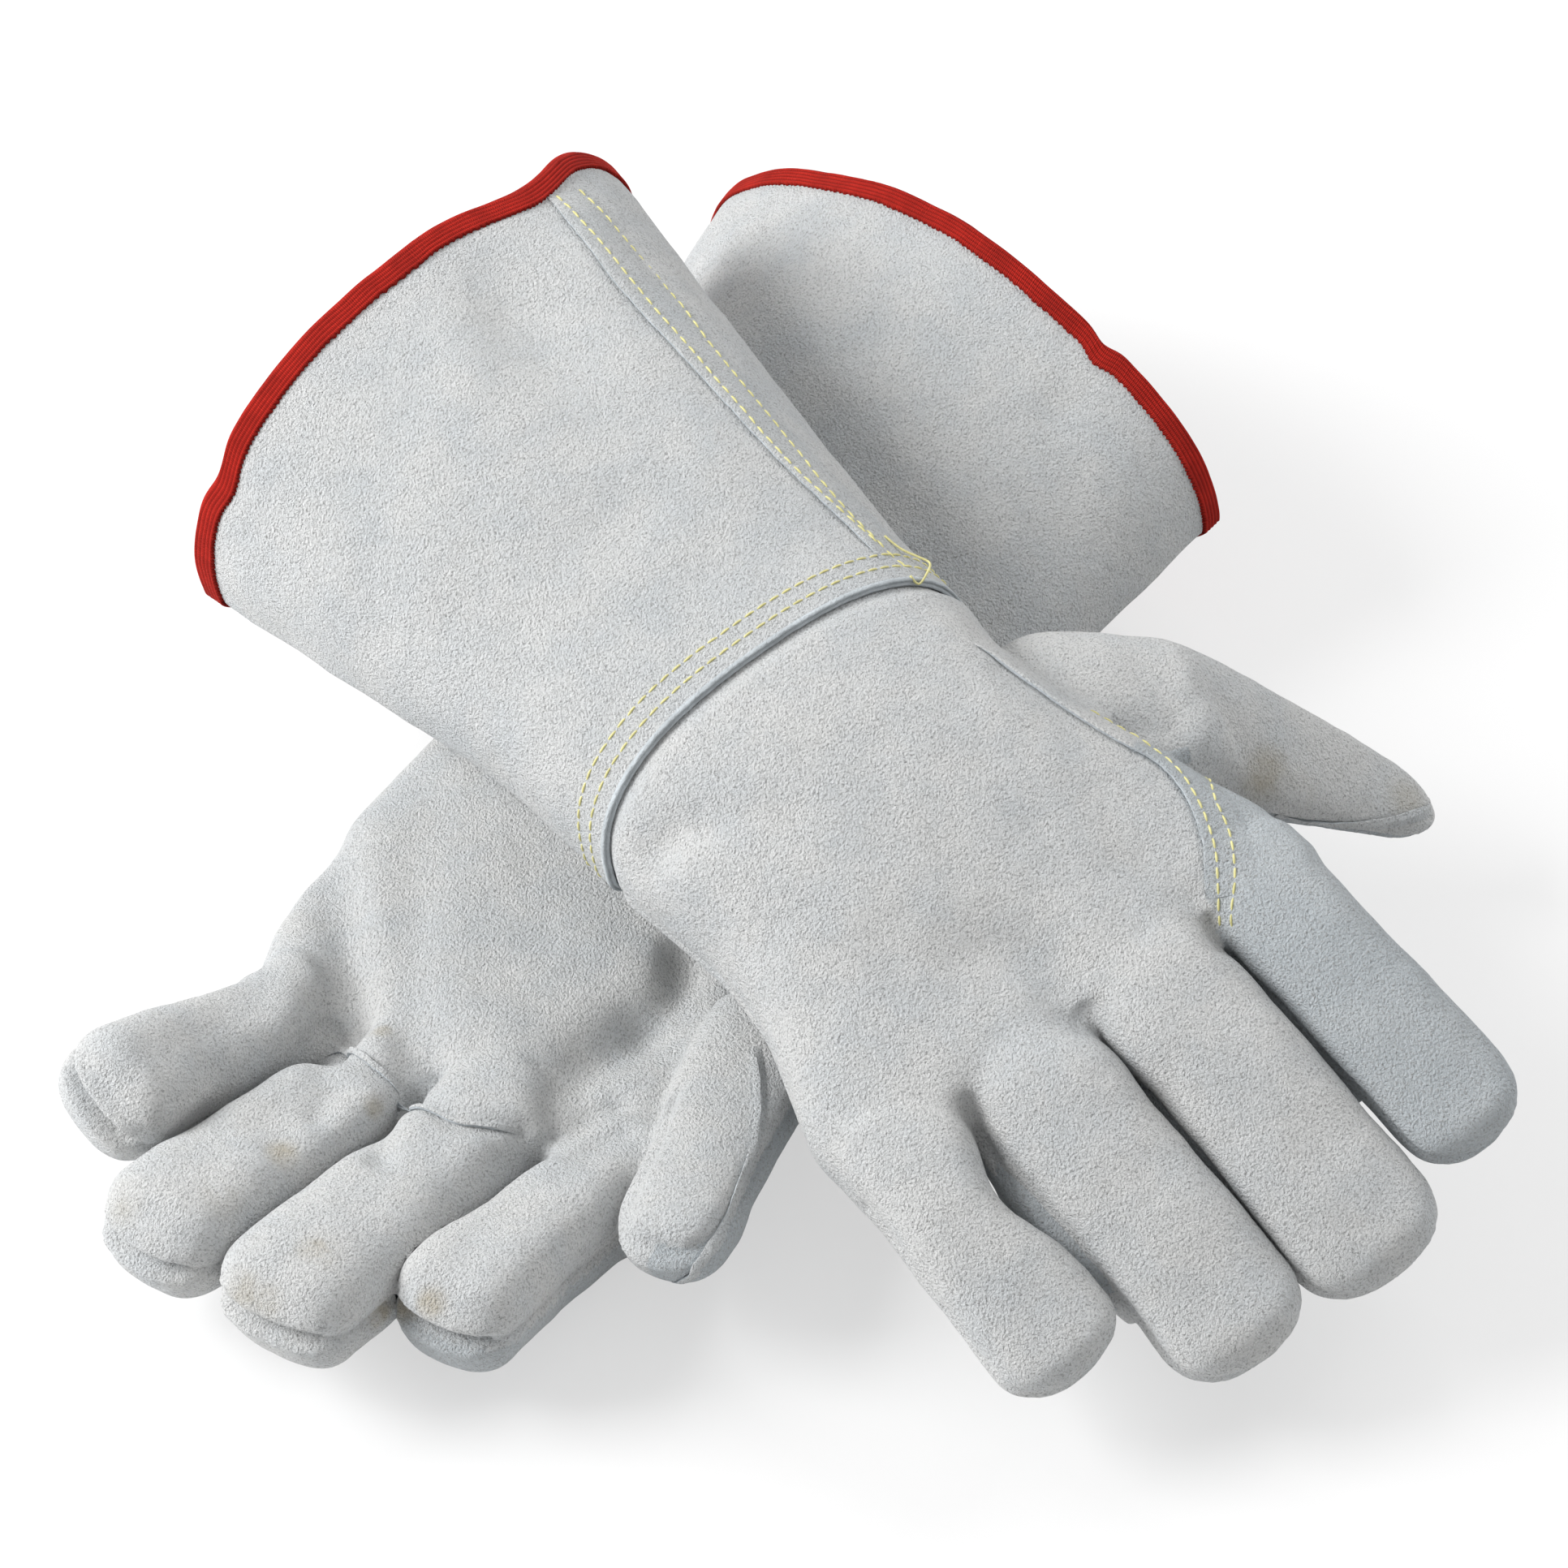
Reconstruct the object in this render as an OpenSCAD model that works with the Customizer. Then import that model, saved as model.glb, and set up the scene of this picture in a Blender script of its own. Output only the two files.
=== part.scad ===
// Pair of leather gauntlet gloves, lying crossed: the right glove, back up, over the left glove, palm up.
// Pattern frame of a glove: +u towards the fingertips, +v towards the thumb, +w out of the back of the hand.
// Its origin is the middle of the wrist seam. Part frame: millimetres, +Z up, table at Z = 0.

/* [Leather and thread] */
// Thickness of the split leather
leather_t = 1.6; // [1.2:0.1:2.2]
// Gap left where a piece turns against its neighbour
turn_gap = 0.6; // [0.4:0.1:0.9]
// Gap left between layers that are sewn over each other
lap_gap = 0.2; // [0.1:0.05:0.4]
// Width and height of a row of stitches
thread_d = 0.8; // [0.6:0.1:1.2]
// Distance between the two rows of a doubled seam
row_pitch = 4; // [3:0.5:6]

/* [Cuff] */
// Length of the cuff from the mouth to the wrist seam
cuff_l = 156; // [130:1:180]
// How far the cuff laps over the hand
cuff_lap = 14; // [12:1:20]
// How much further the middle of the cuff reaches than its sides
mouth_bow = 5; // [0:1:12]
// How far the wrist seam curves back over the back of the hand
wrist_bow = 8; // [0:1:12]
// Width of the tape on each face of the cuff
tape_w = 9; // [6:0.5:12]
// Thickness of the tape
tape_t = 1.2; // [0.8:0.1:1.6]

/* [Hand] */
// Length from the wrist seam to the knuckle hinge line
hand_l = 108; // [98:1:120]
// How far behind the hinge line the hand ends
hinge_back = 9; // [8:0.5:11]
// Room between the outer fingers and the sides of the hand
side_room = 3; // [2.5:0.5:6]
// Height of the back, and depth of the palm side, at the knuckles
knuckle_half_h = 16; // [15:0.5:19]

/* [Right glove sections] */
// Width of the cuff mouth
right_mouth_w = 146; // [130:1:170]
// Height of the back above the middle plane at the mouth
right_mouth_up = 44; // [30:1:55]
// Depth of the palm side below the middle plane at the mouth
right_mouth_down = 24; // [18:1:30]
// Width at the wrist
right_wrist_w = 110; // [100:1:125]
// Height of the back at the wrist
right_wrist_up = 34; // [24:1:40]
// Depth of the palm side at the wrist
right_wrist_down = 16; // [14:1:20]

/* [Left glove sections] */
// Width of the cuff mouth
left_mouth_w = 158; // [140:1:175]
// Depth of the back below the middle plane at the mouth
left_mouth_up = 36; // [25:1:45]
// Height of the palm side at the mouth
left_mouth_down = 44; // [30:1:55]
// Width at the wrist
left_wrist_w = 120; // [110:1:128]
// Depth of the back at the wrist
left_wrist_up = 15; // [14:1:20]
// Height of the palm side at the wrist
left_wrist_down = 14; // [13:1:17]
// How much narrower the cupped left hand lies across the knuckles
left_squeeze = 0.87; // [0.84:0.01:1]

/* [Fingers] */
// Length of the index finger beyond the hinge line
index_l = 80; // [65:1:90]
// Length of the middle finger
middle_l = 92; // [80:1:105]
// Length of the ring finger
ring_l = 87; // [75:1:100]
// Length of the little finger
little_l = 67; // [55:1:80]
// Width of the index finger
index_w = 31; // [26:0.5:34]
// Width of the middle finger
middle_w = 37; // [30:0.5:39]
// Width of the ring finger
ring_w = 35; // [30:0.5:38]
// Width of the little finger
little_w = 32; // [26:0.5:34]
// Gap between neighbouring fingers
finger_gap = 1.2; // [0.8:0.1:2]
// Thickness of the index and little fingers at their roots
outer_finger_h = 26; // [22:0.5:27]
// Thickness of the middle and ring fingers at their roots
inner_finger_h = 28; // [25:0.5:28.5]
// Thickness of a finger at its sewn tip
tip_h = 9; // [6:0.5:12]

/* [Thumb] */
// Length of the thumb from the side of the hand to its tip
thumb_l = 103; // [90:1:112]
// Width of the thumb at its root
thumb_w = 39; // [34:1:42]
// Thickness of the thumb at its root
thumb_h = 30; // [26:1:32]
// Half length of the opening from the hand into the thumb
thumb_hole = 18; // [12:1:20]

/* [Hidden] */
RIGHT = 0;
LEFT = 1;

// Where each glove lies: turned about the vertical, then leant to the side, then tilted towards the front
right_turn = -51.8;
right_lean = -5;
right_tilt = 11;
right_at = [0.6, -27.4, 64];
left_turn = 238.6;
left_at = [-31.4, -4.4, left_wrist_up];

function turn_x(q) = [[1, 0, 0], [0, cos(q), -sin(q)], [0, sin(q), cos(q)]];
function turn_y(q) = [[cos(q), 0, sin(q)], [0, 1, 0], [-sin(q), 0, cos(q)]];
function turn_z(q) = [[cos(q), -sin(q), 0], [sin(q), cos(q), 0], [0, 0, 1]];
right_axes = turn_x(right_tilt) * turn_y(right_lean) * turn_z(right_turn);
left_axes = turn_z(left_turn);

// A pattern direction and a pattern point of glove g in the part frame; the left glove lies palm up
function aimed(g, d) = g == RIGHT ? right_axes * d : left_axes * [d[0], d[1], -d[2]];
function in_part(g, p) = (g == RIGHT ? right_at : left_at) + aimed(g, p);
// The same point, kept at least height h above the table
function laid(g, p, h) = let (q = in_part(g, p)) [q[0], q[1], max(q[2], h)];

function smooth(t) = let (c = min(1, max(0, t))) c * c * (3 - 2 * c);
function mix(a, b, t) = a + (b - a) * t;

// Finger roots side by side across the knuckles, index to little
finger_names = ["index", "middle", "ring", "little"];
finger_ls = [index_l, middle_l, ring_l, little_l];
finger_ws = [index_w, middle_w, ring_w, little_w];
finger_hs = [outer_finger_h, inner_finger_h, inner_finger_h, outer_finger_h];
function sum(l, n) = n == 0 ? 0 : l[n - 1] + sum(l, n - 1);
squeeze = [1, left_squeeze];
knuckle_shift = [4, 5];
function finger_w(g, i) = finger_ws[i] * squeeze[g];
function fingers_w(g) = sum(finger_ws, 4) * squeeze[g] + 3 * finger_gap;
function finger_v(g, i) = knuckle_shift[g] + fingers_w(g) / 2 - sum(finger_ws, i) * squeeze[g]
    - i * finger_gap - finger_w(g, i) / 2;

// Half width, height of the back, depth of the palm side, sideways shift and roundness of a section
round_end = 0.82;
boxy_end = 0.5;
function mouth_size(g) = g == RIGHT ? [right_mouth_w / 2, right_mouth_up, right_mouth_down, -5, round_end]
    : [left_mouth_w / 2, left_mouth_up, left_mouth_down, 0, round_end];
function wrist_size(g) = g == RIGHT ? [right_wrist_w / 2, right_wrist_up, right_wrist_down, 0, round_end]
    : [left_wrist_w / 2, left_wrist_up, left_wrist_down, -3, round_end];
function knuckle_size(g) = [fingers_w(g) / 2 + side_room, knuckle_half_h, knuckle_half_h, knuckle_shift[g],
    boxy_end];
flare = 0.8;
// How far the side of the little finger is drawn in, or swells out, half way along the hand
drawn_in = [2.5, -3];
function drawn(g, u) = drawn_in[g] * pow(sin(180 * u / hand_l), 2) * [-1, 0, 0, 1, 0];
function flared(u) = smooth(-u / cuff_l * flare) / smooth(flare);
function section(g, u) = u < 0 ? mix(wrist_size(g), mouth_size(g), flared(u))
    : mix(wrist_size(g), knuckle_size(g), smooth(pow(u / hand_l, 1.4))) + drawn(g, u);
// Height of the section's middle; the left glove's back lies along the table, its cuff on the tape
cuff_in = lap_gap;
cuff_out = lap_gap + leather_t;
tape_out = cuff_out + lap_gap + tape_t;
flat_rest = 0.8;
rest_run = 40;
function rest_at(u) = mix(tape_out, -flat_rest, smooth(u / rest_run));
function middle_at(g, u) = g == RIGHT ? 0 : left_wrist_up - section(g, u)[1] - rest_at(u);

// A point of the flattened oval at angle q: 0 on the thumb side, 90 on the back, 270 on the palm
function oval(s, q) = [s[0] * sign(cos(q)) * pow(abs(cos(q)), s[4]),
    (sin(q) > 0 ? s[1] : s[2]) * sign(sin(q)) * pow(abs(sin(q)), s[4])];
function grown(s, d) = [s[0] + d, s[1] + d, s[2] + d, s[3], s[4]];
// A point of the glove's surface moved out by d, with layers kept apart where it is pressed flat
function skin(g, u, q, d) = let (s = section(g, u), o = oval(grown(s, d), q))
    laid(g, [u, o[0] + s[3], o[1] + middle_at(g, u)], max(0, -d));

// A leather panel between two grids of points, outer and inner, closed all round
module panel(outer, inner, flip) {
    m = len(outer);
    n = len(outer[0]);
    at = function (layer, i, j) layer * m * n + i * n + j;
    quad = function (a, b, c, d) [[a, b, c], [a, c, d]];
    faces = concat(
        [for (i = [0:m - 2], j = [0:n - 2], t = quad(at(0, i, j), at(0, i + 1, j), at(0, i + 1, j + 1),
            at(0, i, j + 1))) t],
        [for (i = [0:m - 2], j = [0:n - 2], t = quad(at(1, i, j), at(1, i, j + 1), at(1, i + 1, j + 1),
            at(1, i + 1, j))) t],
        [for (i = [0:m - 2], t = quad(at(0, i, 0), at(1, i, 0), at(1, i + 1, 0), at(0, i + 1, 0))) t],
        [for (i = [0:m - 2], t = quad(at(0, i, n - 1), at(0, i + 1, n - 1), at(1, i + 1, n - 1),
            at(1, i, n - 1))) t],
        [for (j = [0:n - 2], t = quad(at(0, 0, j), at(0, 0, j + 1), at(1, 0, j + 1), at(1, 0, j))) t],
        [for (j = [0:n - 2], t = quad(at(0, m - 1, j), at(1, m - 1, j), at(1, m - 1, j + 1),
            at(0, m - 1, j + 1))) t]);
    points = concat([for (row = outer, p = row) p], [for (row = inner, p = row) p]);
    polyhedron(points, flip ? [for (f = faces) [f[2], f[1], f[0]]] : faces);
}
module skin_panel(g, us, qs, out, in) {
    grid = function (d) [for (i = [0:len(us) - 1]) [for (j = [0:len(qs[i]) - 1])
        skin(g, us[i][j], qs[i][j], d)]];
    panel(grid(out), grid(in), g == LEFT);
}

// Columns round the glove fall on the same angles for every layer, so that layers stay apart
column = 12;
function columns(q0, q1) = [for (q = [q0:column:q1]) q];
hand_end = hand_l - hinge_back - turn_gap;

// The opening from the hand into the thumb, as a share of its full height at station u
thumb_hole_u = [34, 40];
thumb_hole_palm = [26, 30];
thumb_hole_back = [14, 20];
function hole_share(g, u) = let (t = (u - thumb_hole_u[g]) / thumb_hole) abs(t) >= 1 ? 0 : sqrt(1 - t * t);
function squeezed(q0, q1, a, b) = [for (q = columns(q0, q1)) a + (q - q0) / (q1 - q0) * (b - a)];
wrist_edge = function (q) -wrist_bow * max(0, sin(q));
hand_start = -cuff_lap - wrist_bow;
hole_steps = [-1, -0.8, -0.4, 0, 0.4, 0.8, 1];
hand_us = function (g) concat([hand_start, 0], [for (t = hole_steps) thumb_hole_u[g] + t * thumb_hole],
    [mix(thumb_hole_u[g] + thumb_hole, hand_end, 0.5), hand_end]);
module hand_panel(g, q0, q1, hole0, hole1) {
    us = hand_us(g);
    qs = [for (u = us) squeezed(q0, q1, q0 + hole0 * hole_share(g, u), q1 - hole1 * hole_share(g, u))];
    skin_panel(g, [for (i = [0:len(us) - 1]) [for (q = qs[i]) us[i]]], qs, 0, -leather_t);
}
side_seam = 48;
module palm_panel(g) leather() hand_panel(g, 180, 360, 0, thumb_hole_palm[g]);
module back_panel(g) leather() hand_panel(g, side_seam, 180, 0, 0);
module side_panel(g) leather() hand_panel(g, 0, side_seam, thumb_hole_back[g], 0);

// Cuff panels from the mouth to the wrist seam
mouth_skew = [-9, 20];
mouth_more = [-2, 5];
cuff_seam_back = 36;
cuff_seam_palm = 204;
function mouth_u(g, q) = -cuff_l - mouth_more[g] - mouth_bow * abs(sin(q)) + mouth_skew[g] * cos(q);
function cuff_u(g, q, row) = row == 0 ? mouth_u(g, q) : row == 1 ? mouth_u(g, q) + tape_w
    : mix(mouth_u(g, q) + tape_w, hand_start, (row - 1) / 4);
cuff_rows = 6;
function cuff_row_u(g, q, row) = row == cuff_rows ? wrist_edge(q) : cuff_u(g, q, row);
module cuff_panel(g, q0, q1) {
    qs = columns(q0, q1);
    us = [for (row = [0:cuff_rows]) [for (q = qs) cuff_row_u(g, q, row)]];
    skin_panel(g, us, [for (row = [0:cuff_rows]) qs], cuff_out, cuff_in);
}
module cuff_back_panel(g) leather() cuff_panel(g, cuff_seam_back, cuff_seam_palm);
module cuff_palm_panel(g) leather() cuff_panel(g, cuff_seam_palm, cuff_seam_back + 360);

// Tape folded over the edge of the mouth, as one closed ring
module cuff_tape(g) {
    ring = [[tape_w, cuff_out + lap_gap], [tape_w, tape_out], [-lap_gap - tape_t, tape_out],
        [-lap_gap - tape_t, cuff_in - lap_gap - tape_t], [tape_w, cuff_in - lap_gap - tape_t],
        [tape_w, cuff_in - lap_gap], [-lap_gap, cuff_in - lap_gap], [-lap_gap, cuff_out + lap_gap]];
    n = len(ring);
    qs = columns(0, 360 - column);
    m = len(qs);
    points = [for (q = qs, r = ring) skin(g, mouth_u(g, q) + r[0], q, r[1])];
    at = function (i, j) (i % m) * n + j % n;
    faces = [for (i = [0:m - 1], j = [0:n - 1], t = [[at(i, j), at(i + 1, j), at(i + 1, j + 1)],
        [at(i, j), at(i + 1, j + 1), at(i, j + 1)]]) t];
    tape_red() polyhedron(points, g == RIGHT ? faces : [for (f = faces) [f[2], f[1], f[0]]]);
}

// Rows of stitches, each drawn as one low ridge on the leather
thread_in = lap_gap;
thread_top = thread_in + thread_d;
// A point of the cuff's last rows, which run straight from the start of the hand to the wrist edge
function lap_point(g, q, back, d) = mix(skin(g, wrist_edge(q), q, d), skin(g, hand_start, q, d),
    back / (wrist_edge(q) - hand_start));
module row_across(g, back) {
    qs = columns(cuff_seam_back, cuff_seam_back + 360 - column);
    grid = function (d) [for (e = [thread_d, 0]) [for (q = qs) lap_point(g, q, back + e, d)]];
    panel(grid(cuff_out + thread_top), grid(cuff_out + thread_in), g == LEFT);
}
edge_row = 5;
module wrist_thread(g) thread_yellow() {
    row_across(g, edge_row);
    row_across(g, edge_row + row_pitch);
}
// Degrees round the section that make up length l near angle q
function degrees_for(g, u, q, l) = l / norm(skin(g, u, q + 1, 0) - skin(g, u, q, 0));
module row_along(g, us, q_at, base) {
    qs = [for (u = us) let (q = q_at(u)) [q, q + degrees_for(g, u, q, thread_d)]];
    skin_panel(g, [for (u = us) [u, u]], qs, base + thread_top, base + thread_in);
}
module cuff_seam_thread(g) thread_yellow() {
    us = concat([mouth_u(g, cuff_seam_back) + tape_w + 2],
        [for (row = [2:5]) cuff_u(g, cuff_seam_back, row)]);
    for (k = [0, 1])
        row_along(g, us, function (u) cuff_seam_back + degrees_for(g, u, cuff_seam_back, 3 + k * row_pitch),
            cuff_out);
}
module back_seam_thread(g) thread_yellow() {
    us = [for (u = hand_us(g)) if (u > 0) min(u, hand_end - 2)];
    for (k = [0, 1])
        row_along(g, us, function (u) side_seam + degrees_for(g, u, side_seam, 2 + k * row_pitch), 0);
}

// Welt sewn into the seam between the palm and the fronts of the two middle fingers
welt_w = 3;
welt_t = 1.4;
module finger_welt(g) leather() {
    qs = columns(240, 300);
    skin_panel(g, [for (e = [welt_w, 0]) [for (q = qs) hand_end - e]], [qs, qs], lap_gap + welt_t, lap_gap);
}

// Pose of each finger: yaw, bend at the root, curl along it and twist
right_pose = [[1, 4, 10, 0], [0, 6, 12, 0], [-1, 6, 12, 0], [-2, 4, 12, 0]];
left_pose = [[4, 16, -4, 0], [-1, 15, -4, 0], [-5, 15, -4, 0], [-9, 18, 0, 25]];
function pose(g, i) = g == RIGHT ? right_pose[i] : left_pose[i];
finger_rows = 9;
finger_columns = 8;
turn_in = 0.3;
// Direction of a finger after share t of its length: yaw about w, then bend towards the palm
function finger_yaw(ps, t) = ps[0] * smooth(t / turn_in);
function finger_dir(ps, t) = let (yaw = finger_yaw(ps, t), bend = ps[1] * smooth(t / turn_in) + ps[2] * t)
    [cos(bend) * cos(yaw), cos(bend) * sin(yaw), -sin(bend)];
function share(k) = sin(90 * k / finger_rows);
function finger_line(start, l, ps) = [for (k = 0, p = start; k <= finger_rows;
    p = p + l * (share(k + 1) - share(k)) * finger_dir(ps, (share(k) + share(k + 1)) / 2), k = k + 1) p];
tip_share = 0.2;
function rounded(t) = sqrt(max(0.08, 1 - pow((t - 1 + tip_share) / tip_share, 2)));
function half_w(w, t) = w / 2 * (t < 1 - tip_share ? 1 : rounded(t));
function half_h(h, t) = mix(h, tip_h, smooth(t)) / 2 * (t < 0.97 ? 1 : 0.8);
function tube_point(c, f, side, up, w, h, t, q, d) = let (
    a = max(0.6, half_w(w, t) - d), b = max(0.4, half_h(h, t) - d), o = oval([a, b, b, 0, round_end], q))
    c + side * o[0] + up * o[1] - (t > 0.99 ? f * d * 1.2 : [0, 0, 0]);
function finger_point(c, ps, w, h, t, q, d) = let (f = finger_dir(ps, t), yaw = finger_yaw(ps, t),
    side0 = [-sin(yaw), cos(yaw), 0], up0 = cross(f, side0), twist = ps[3] * smooth(t))
    tube_point(c, f, side0 * cos(twist) + up0 * sin(twist), up0 * cos(twist) - side0 * sin(twist),
        w, h, t, q, d);
finger_root = hand_l - hinge_back;
module finger(g, i, q0) {
    ps = pose(g, i);
    l = finger_ls[i] + hinge_back;
    line = finger_line([finger_root, finger_v(g, i), middle_at(g, finger_root)], l, ps);
    grid = function (d) [for (k = [0:finger_rows]) [for (j = [0:finger_columns])
        let (q = q0 + 180 * j / finger_columns)
        laid(g, finger_point(line[k], ps, finger_w(g, i), finger_hs[i], share(k), q, d), d)]];
    leather() panel(grid(0), grid(leather_t), g == LEFT);
}

// Thumb: stands on the thumb side of the hand and turns from thumb_out towards thumb_ahead
thumb_start = [[34, 1.5, -3], [40, 1.5, -3]];
thumb_out = [[-0.12, 0.98, -0.10], [-0.05, 0.97, -0.22]];
thumb_ahead = [[0.76, 0.48, -0.50], [0.97, 0.08, -0.12]];
thumb_turned = [0.42, 0.31];
thumb_taper = 0.78;
function unit(v) = v / norm(v);
function thumb_way(g, t) = unit(mix(thumb_out[g], thumb_ahead[g], smooth(t / thumb_turned[g])));
function thumb_root(g) = let (u = thumb_start[g][0], s = section(g, u))
    [u, s[3] + s[0] + turn_gap + thumb_start[g][1], thumb_start[g][2] + middle_at(g, u)];
function thumb_line(g) = [for (k = 0, p = thumb_root(g); k <= finger_rows;
    p = p + thumb_l * (share(k + 1) - share(k)) * thumb_way(g, (share(k) + share(k + 1)) / 2), k = k + 1) p];
function thumb_point(g, line, k, q, d) = let (t = share(k), f = thumb_way(g, t),
    side = unit([-f[1], f[0], 0]))
    tube_point(line[k], f, side, cross(f, side), thumb_w * mix(1, thumb_taper, t), thumb_h, t, q, d);
module thumb(g, q0) {
    line = thumb_line(g);
    grid = function (d) [for (k = [0:finger_rows]) [for (j = [0:finger_columns])
        laid(g, thumb_point(g, line, k, q0 + 180 * j / finger_columns, d), d)]];
    leather() panel(grid(0), grid(leather_t), g == LEFT);
}

module leather() color([0.82, 0.83, 0.84]) children();
module tape_red() color([0.72, 0.11, 0.09]) children();
module thread_yellow() color([0.86, 0.80, 0.42]) children();

palm_panel(RIGHT);  // right_palm_panel
back_panel(RIGHT);  // right_back_panel
side_panel(RIGHT);  // right_side_panel
cuff_back_panel(RIGHT);  // right_cuff_back_panel
cuff_palm_panel(RIGHT);  // right_cuff_palm_panel
cuff_tape(RIGHT);  // right_cuff_tape
finger_welt(RIGHT);  // right_finger_welt
wrist_thread(RIGHT);  // right_wrist_thread
cuff_seam_thread(RIGHT);  // right_cuff_seam_thread
back_seam_thread(RIGHT);  // right_back_seam_thread
thumb(RIGHT, 180);  // right_thumb_front
thumb(RIGHT, 0);  // right_thumb_back
finger(RIGHT, 0, 180);  // right_index_front
finger(RIGHT, 0, 0);  // right_index_back
finger(RIGHT, 1, 180);  // right_middle_front
finger(RIGHT, 1, 0);  // right_middle_back
finger(RIGHT, 2, 180);  // right_ring_front
finger(RIGHT, 2, 0);  // right_ring_back
finger(RIGHT, 3, 180);  // right_little_front
finger(RIGHT, 3, 0);  // right_little_back
palm_panel(LEFT);  // left_palm_panel
back_panel(LEFT);  // left_back_panel
side_panel(LEFT);  // left_side_panel
cuff_back_panel(LEFT);  // left_cuff_back_panel
cuff_palm_panel(LEFT);  // left_cuff_palm_panel
cuff_tape(LEFT);  // left_cuff_tape
finger_welt(LEFT);  // left_finger_welt
wrist_thread(LEFT);  // left_wrist_thread
cuff_seam_thread(LEFT);  // left_cuff_seam_thread
back_seam_thread(LEFT);  // left_back_seam_thread
thumb(LEFT, 180);  // left_thumb_front
thumb(LEFT, 0);  // left_thumb_back
finger(LEFT, 0, 180);  // left_index_front
finger(LEFT, 0, 0);  // left_index_back
finger(LEFT, 1, 180);  // left_middle_front
finger(LEFT, 1, 0);  // left_middle_back
finger(LEFT, 2, 180);  // left_ring_front
finger(LEFT, 2, 0);  // left_ring_back
finger(LEFT, 3, 180);  // left_little_front
finger(LEFT, 3, 0);  // left_little_back
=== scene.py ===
"""Pair of leather gauntlet gloves lying crossed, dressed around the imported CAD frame."""

import math

import bpy
import numpy as np
from bpy.props import FloatProperty, FloatVectorProperty, IntProperty, PointerProperty
from mathutils import Matrix, Vector, noise
from mathutils.bvhtree import BVHTree


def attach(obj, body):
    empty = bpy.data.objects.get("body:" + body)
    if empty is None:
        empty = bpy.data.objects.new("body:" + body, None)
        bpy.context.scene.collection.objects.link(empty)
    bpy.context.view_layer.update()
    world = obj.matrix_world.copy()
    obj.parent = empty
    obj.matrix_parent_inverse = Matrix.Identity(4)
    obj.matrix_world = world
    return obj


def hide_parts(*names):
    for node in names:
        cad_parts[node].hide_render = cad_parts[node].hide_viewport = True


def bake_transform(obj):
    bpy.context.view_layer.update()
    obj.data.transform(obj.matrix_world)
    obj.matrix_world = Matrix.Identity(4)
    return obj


bl_info = {
    "name": "Gauntlet gloves",
    "version": (1, 0, 0),
    "blender": (4, 5, 0),
    "location": "View3D > Sidebar > Gloves",
    "description": "Builds a crossed pair of split-leather gauntlet gloves around a CAD frame",
    "category": "Object",
}

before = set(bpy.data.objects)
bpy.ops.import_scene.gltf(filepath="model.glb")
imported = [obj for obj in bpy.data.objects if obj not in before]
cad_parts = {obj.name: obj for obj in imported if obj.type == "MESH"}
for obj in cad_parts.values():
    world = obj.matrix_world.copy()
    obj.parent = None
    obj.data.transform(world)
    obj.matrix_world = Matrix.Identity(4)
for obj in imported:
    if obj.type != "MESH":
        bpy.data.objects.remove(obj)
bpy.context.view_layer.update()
MM = 0.001
FINGERS = ("index", "middle", "ring", "little")
DIGITS = FINGERS + ("thumb",)
# Materials, search trees and paths that later steps read
made = {}


def size_setting(name, description, default, low, high):
    return FloatProperty(name=name, description=description, default=default, min=low, max=high,
                         unit="LENGTH")


def colour_setting(name, description, default):
    return FloatVectorProperty(name=name, description=description, default=default, min=0, max=1, size=3,
                               subtype="COLOR")


class GloveSizes(bpy.types.PropertyGroup):
    """Sizes of the gloves' leather, thread and tape."""

    leather: size_setting("Leather", "Thickness of the split leather", 0.0016, 0.001, 0.003)
    grain: size_setting("Skin grain", "Size of a face of the sewn hand's skin", 0.0011, 0.0008, 0.003)
    stitch: size_setting("Stitch", "Length of one stitch", 0.0034, 0.002, 0.006)
    stitch_step: size_setting("Stitch step", "Distance from stitch to stitch", 0.0038, 0.002, 0.008)
    thread: size_setting("Thread", "Thickness of the sewing thread", 0.00062, 0.0004, 0.0015)
    tape: size_setting("Tape", "Width of the bound edge on each face of the cuff", 0.0064, 0.004, 0.010)
    ribs: IntProperty(name="Tape ribs", description="Ribs across the tape on one face",
                      default=5, min=2, max=9)


class GloveColours(bpy.types.PropertyGroup):
    """Colours of the gloves' materials."""

    leather: colour_setting("Leather", "Main leather", (0.79, 0.795, 0.79))
    cool: colour_setting("Cool leather", "Cooler hide of the index side", (0.575, 0.62, 0.65))
    stain: colour_setting("Stain", "Brown handling marks", (0.41, 0.31, 0.13))
    tape: colour_setting("Tape", "Bound edge", (0.52, 0.022, 0.013))
    thread: colour_setting("Thread", "Sewing thread", (0.80, 0.75, 0.34))
    floor: colour_setting("Floor", "Table under the gloves", (0.92, 0.92, 0.92))


def smooth(t):
    """Eases from 0 to 1 as t does."""
    c = np.clip(t, 0.0, 1.0)
    return c * c * (3.0 - 2.0 * c)


def eased(x, start, run):
    """Eases from 0 to 1 as x goes on from its start over a run."""
    return smooth((x - start) / run)


def turned(axis, degrees):
    return np.array(Matrix.Rotation(math.radians(degrees), 3, axis))


def unit(v):
    return v / np.maximum(np.linalg.norm(v, axis=-1, keepdims=True), 1e-9)


# The camera stands as the photographer did; a pixel of the photograph then becomes a ray
PICTURE = 1932.0
LENS = 100.0
SENSOR = 36.0
CAMERA_RISE = math.radians(46.0)
CAMERA_AIM = np.array([-1.4, -15.4, 40.0])
CAMERA_AWAY = 1100.0
CAMERA_AT = CAMERA_AIM + CAMERA_AWAY * np.array([0.0, -math.cos(CAMERA_RISE), math.sin(CAMERA_RISE)])
# Distances from the camera that are searched for a pixel that misses, first, last and step
SEARCH = (850.0, 1350.0, 2.0)
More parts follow.
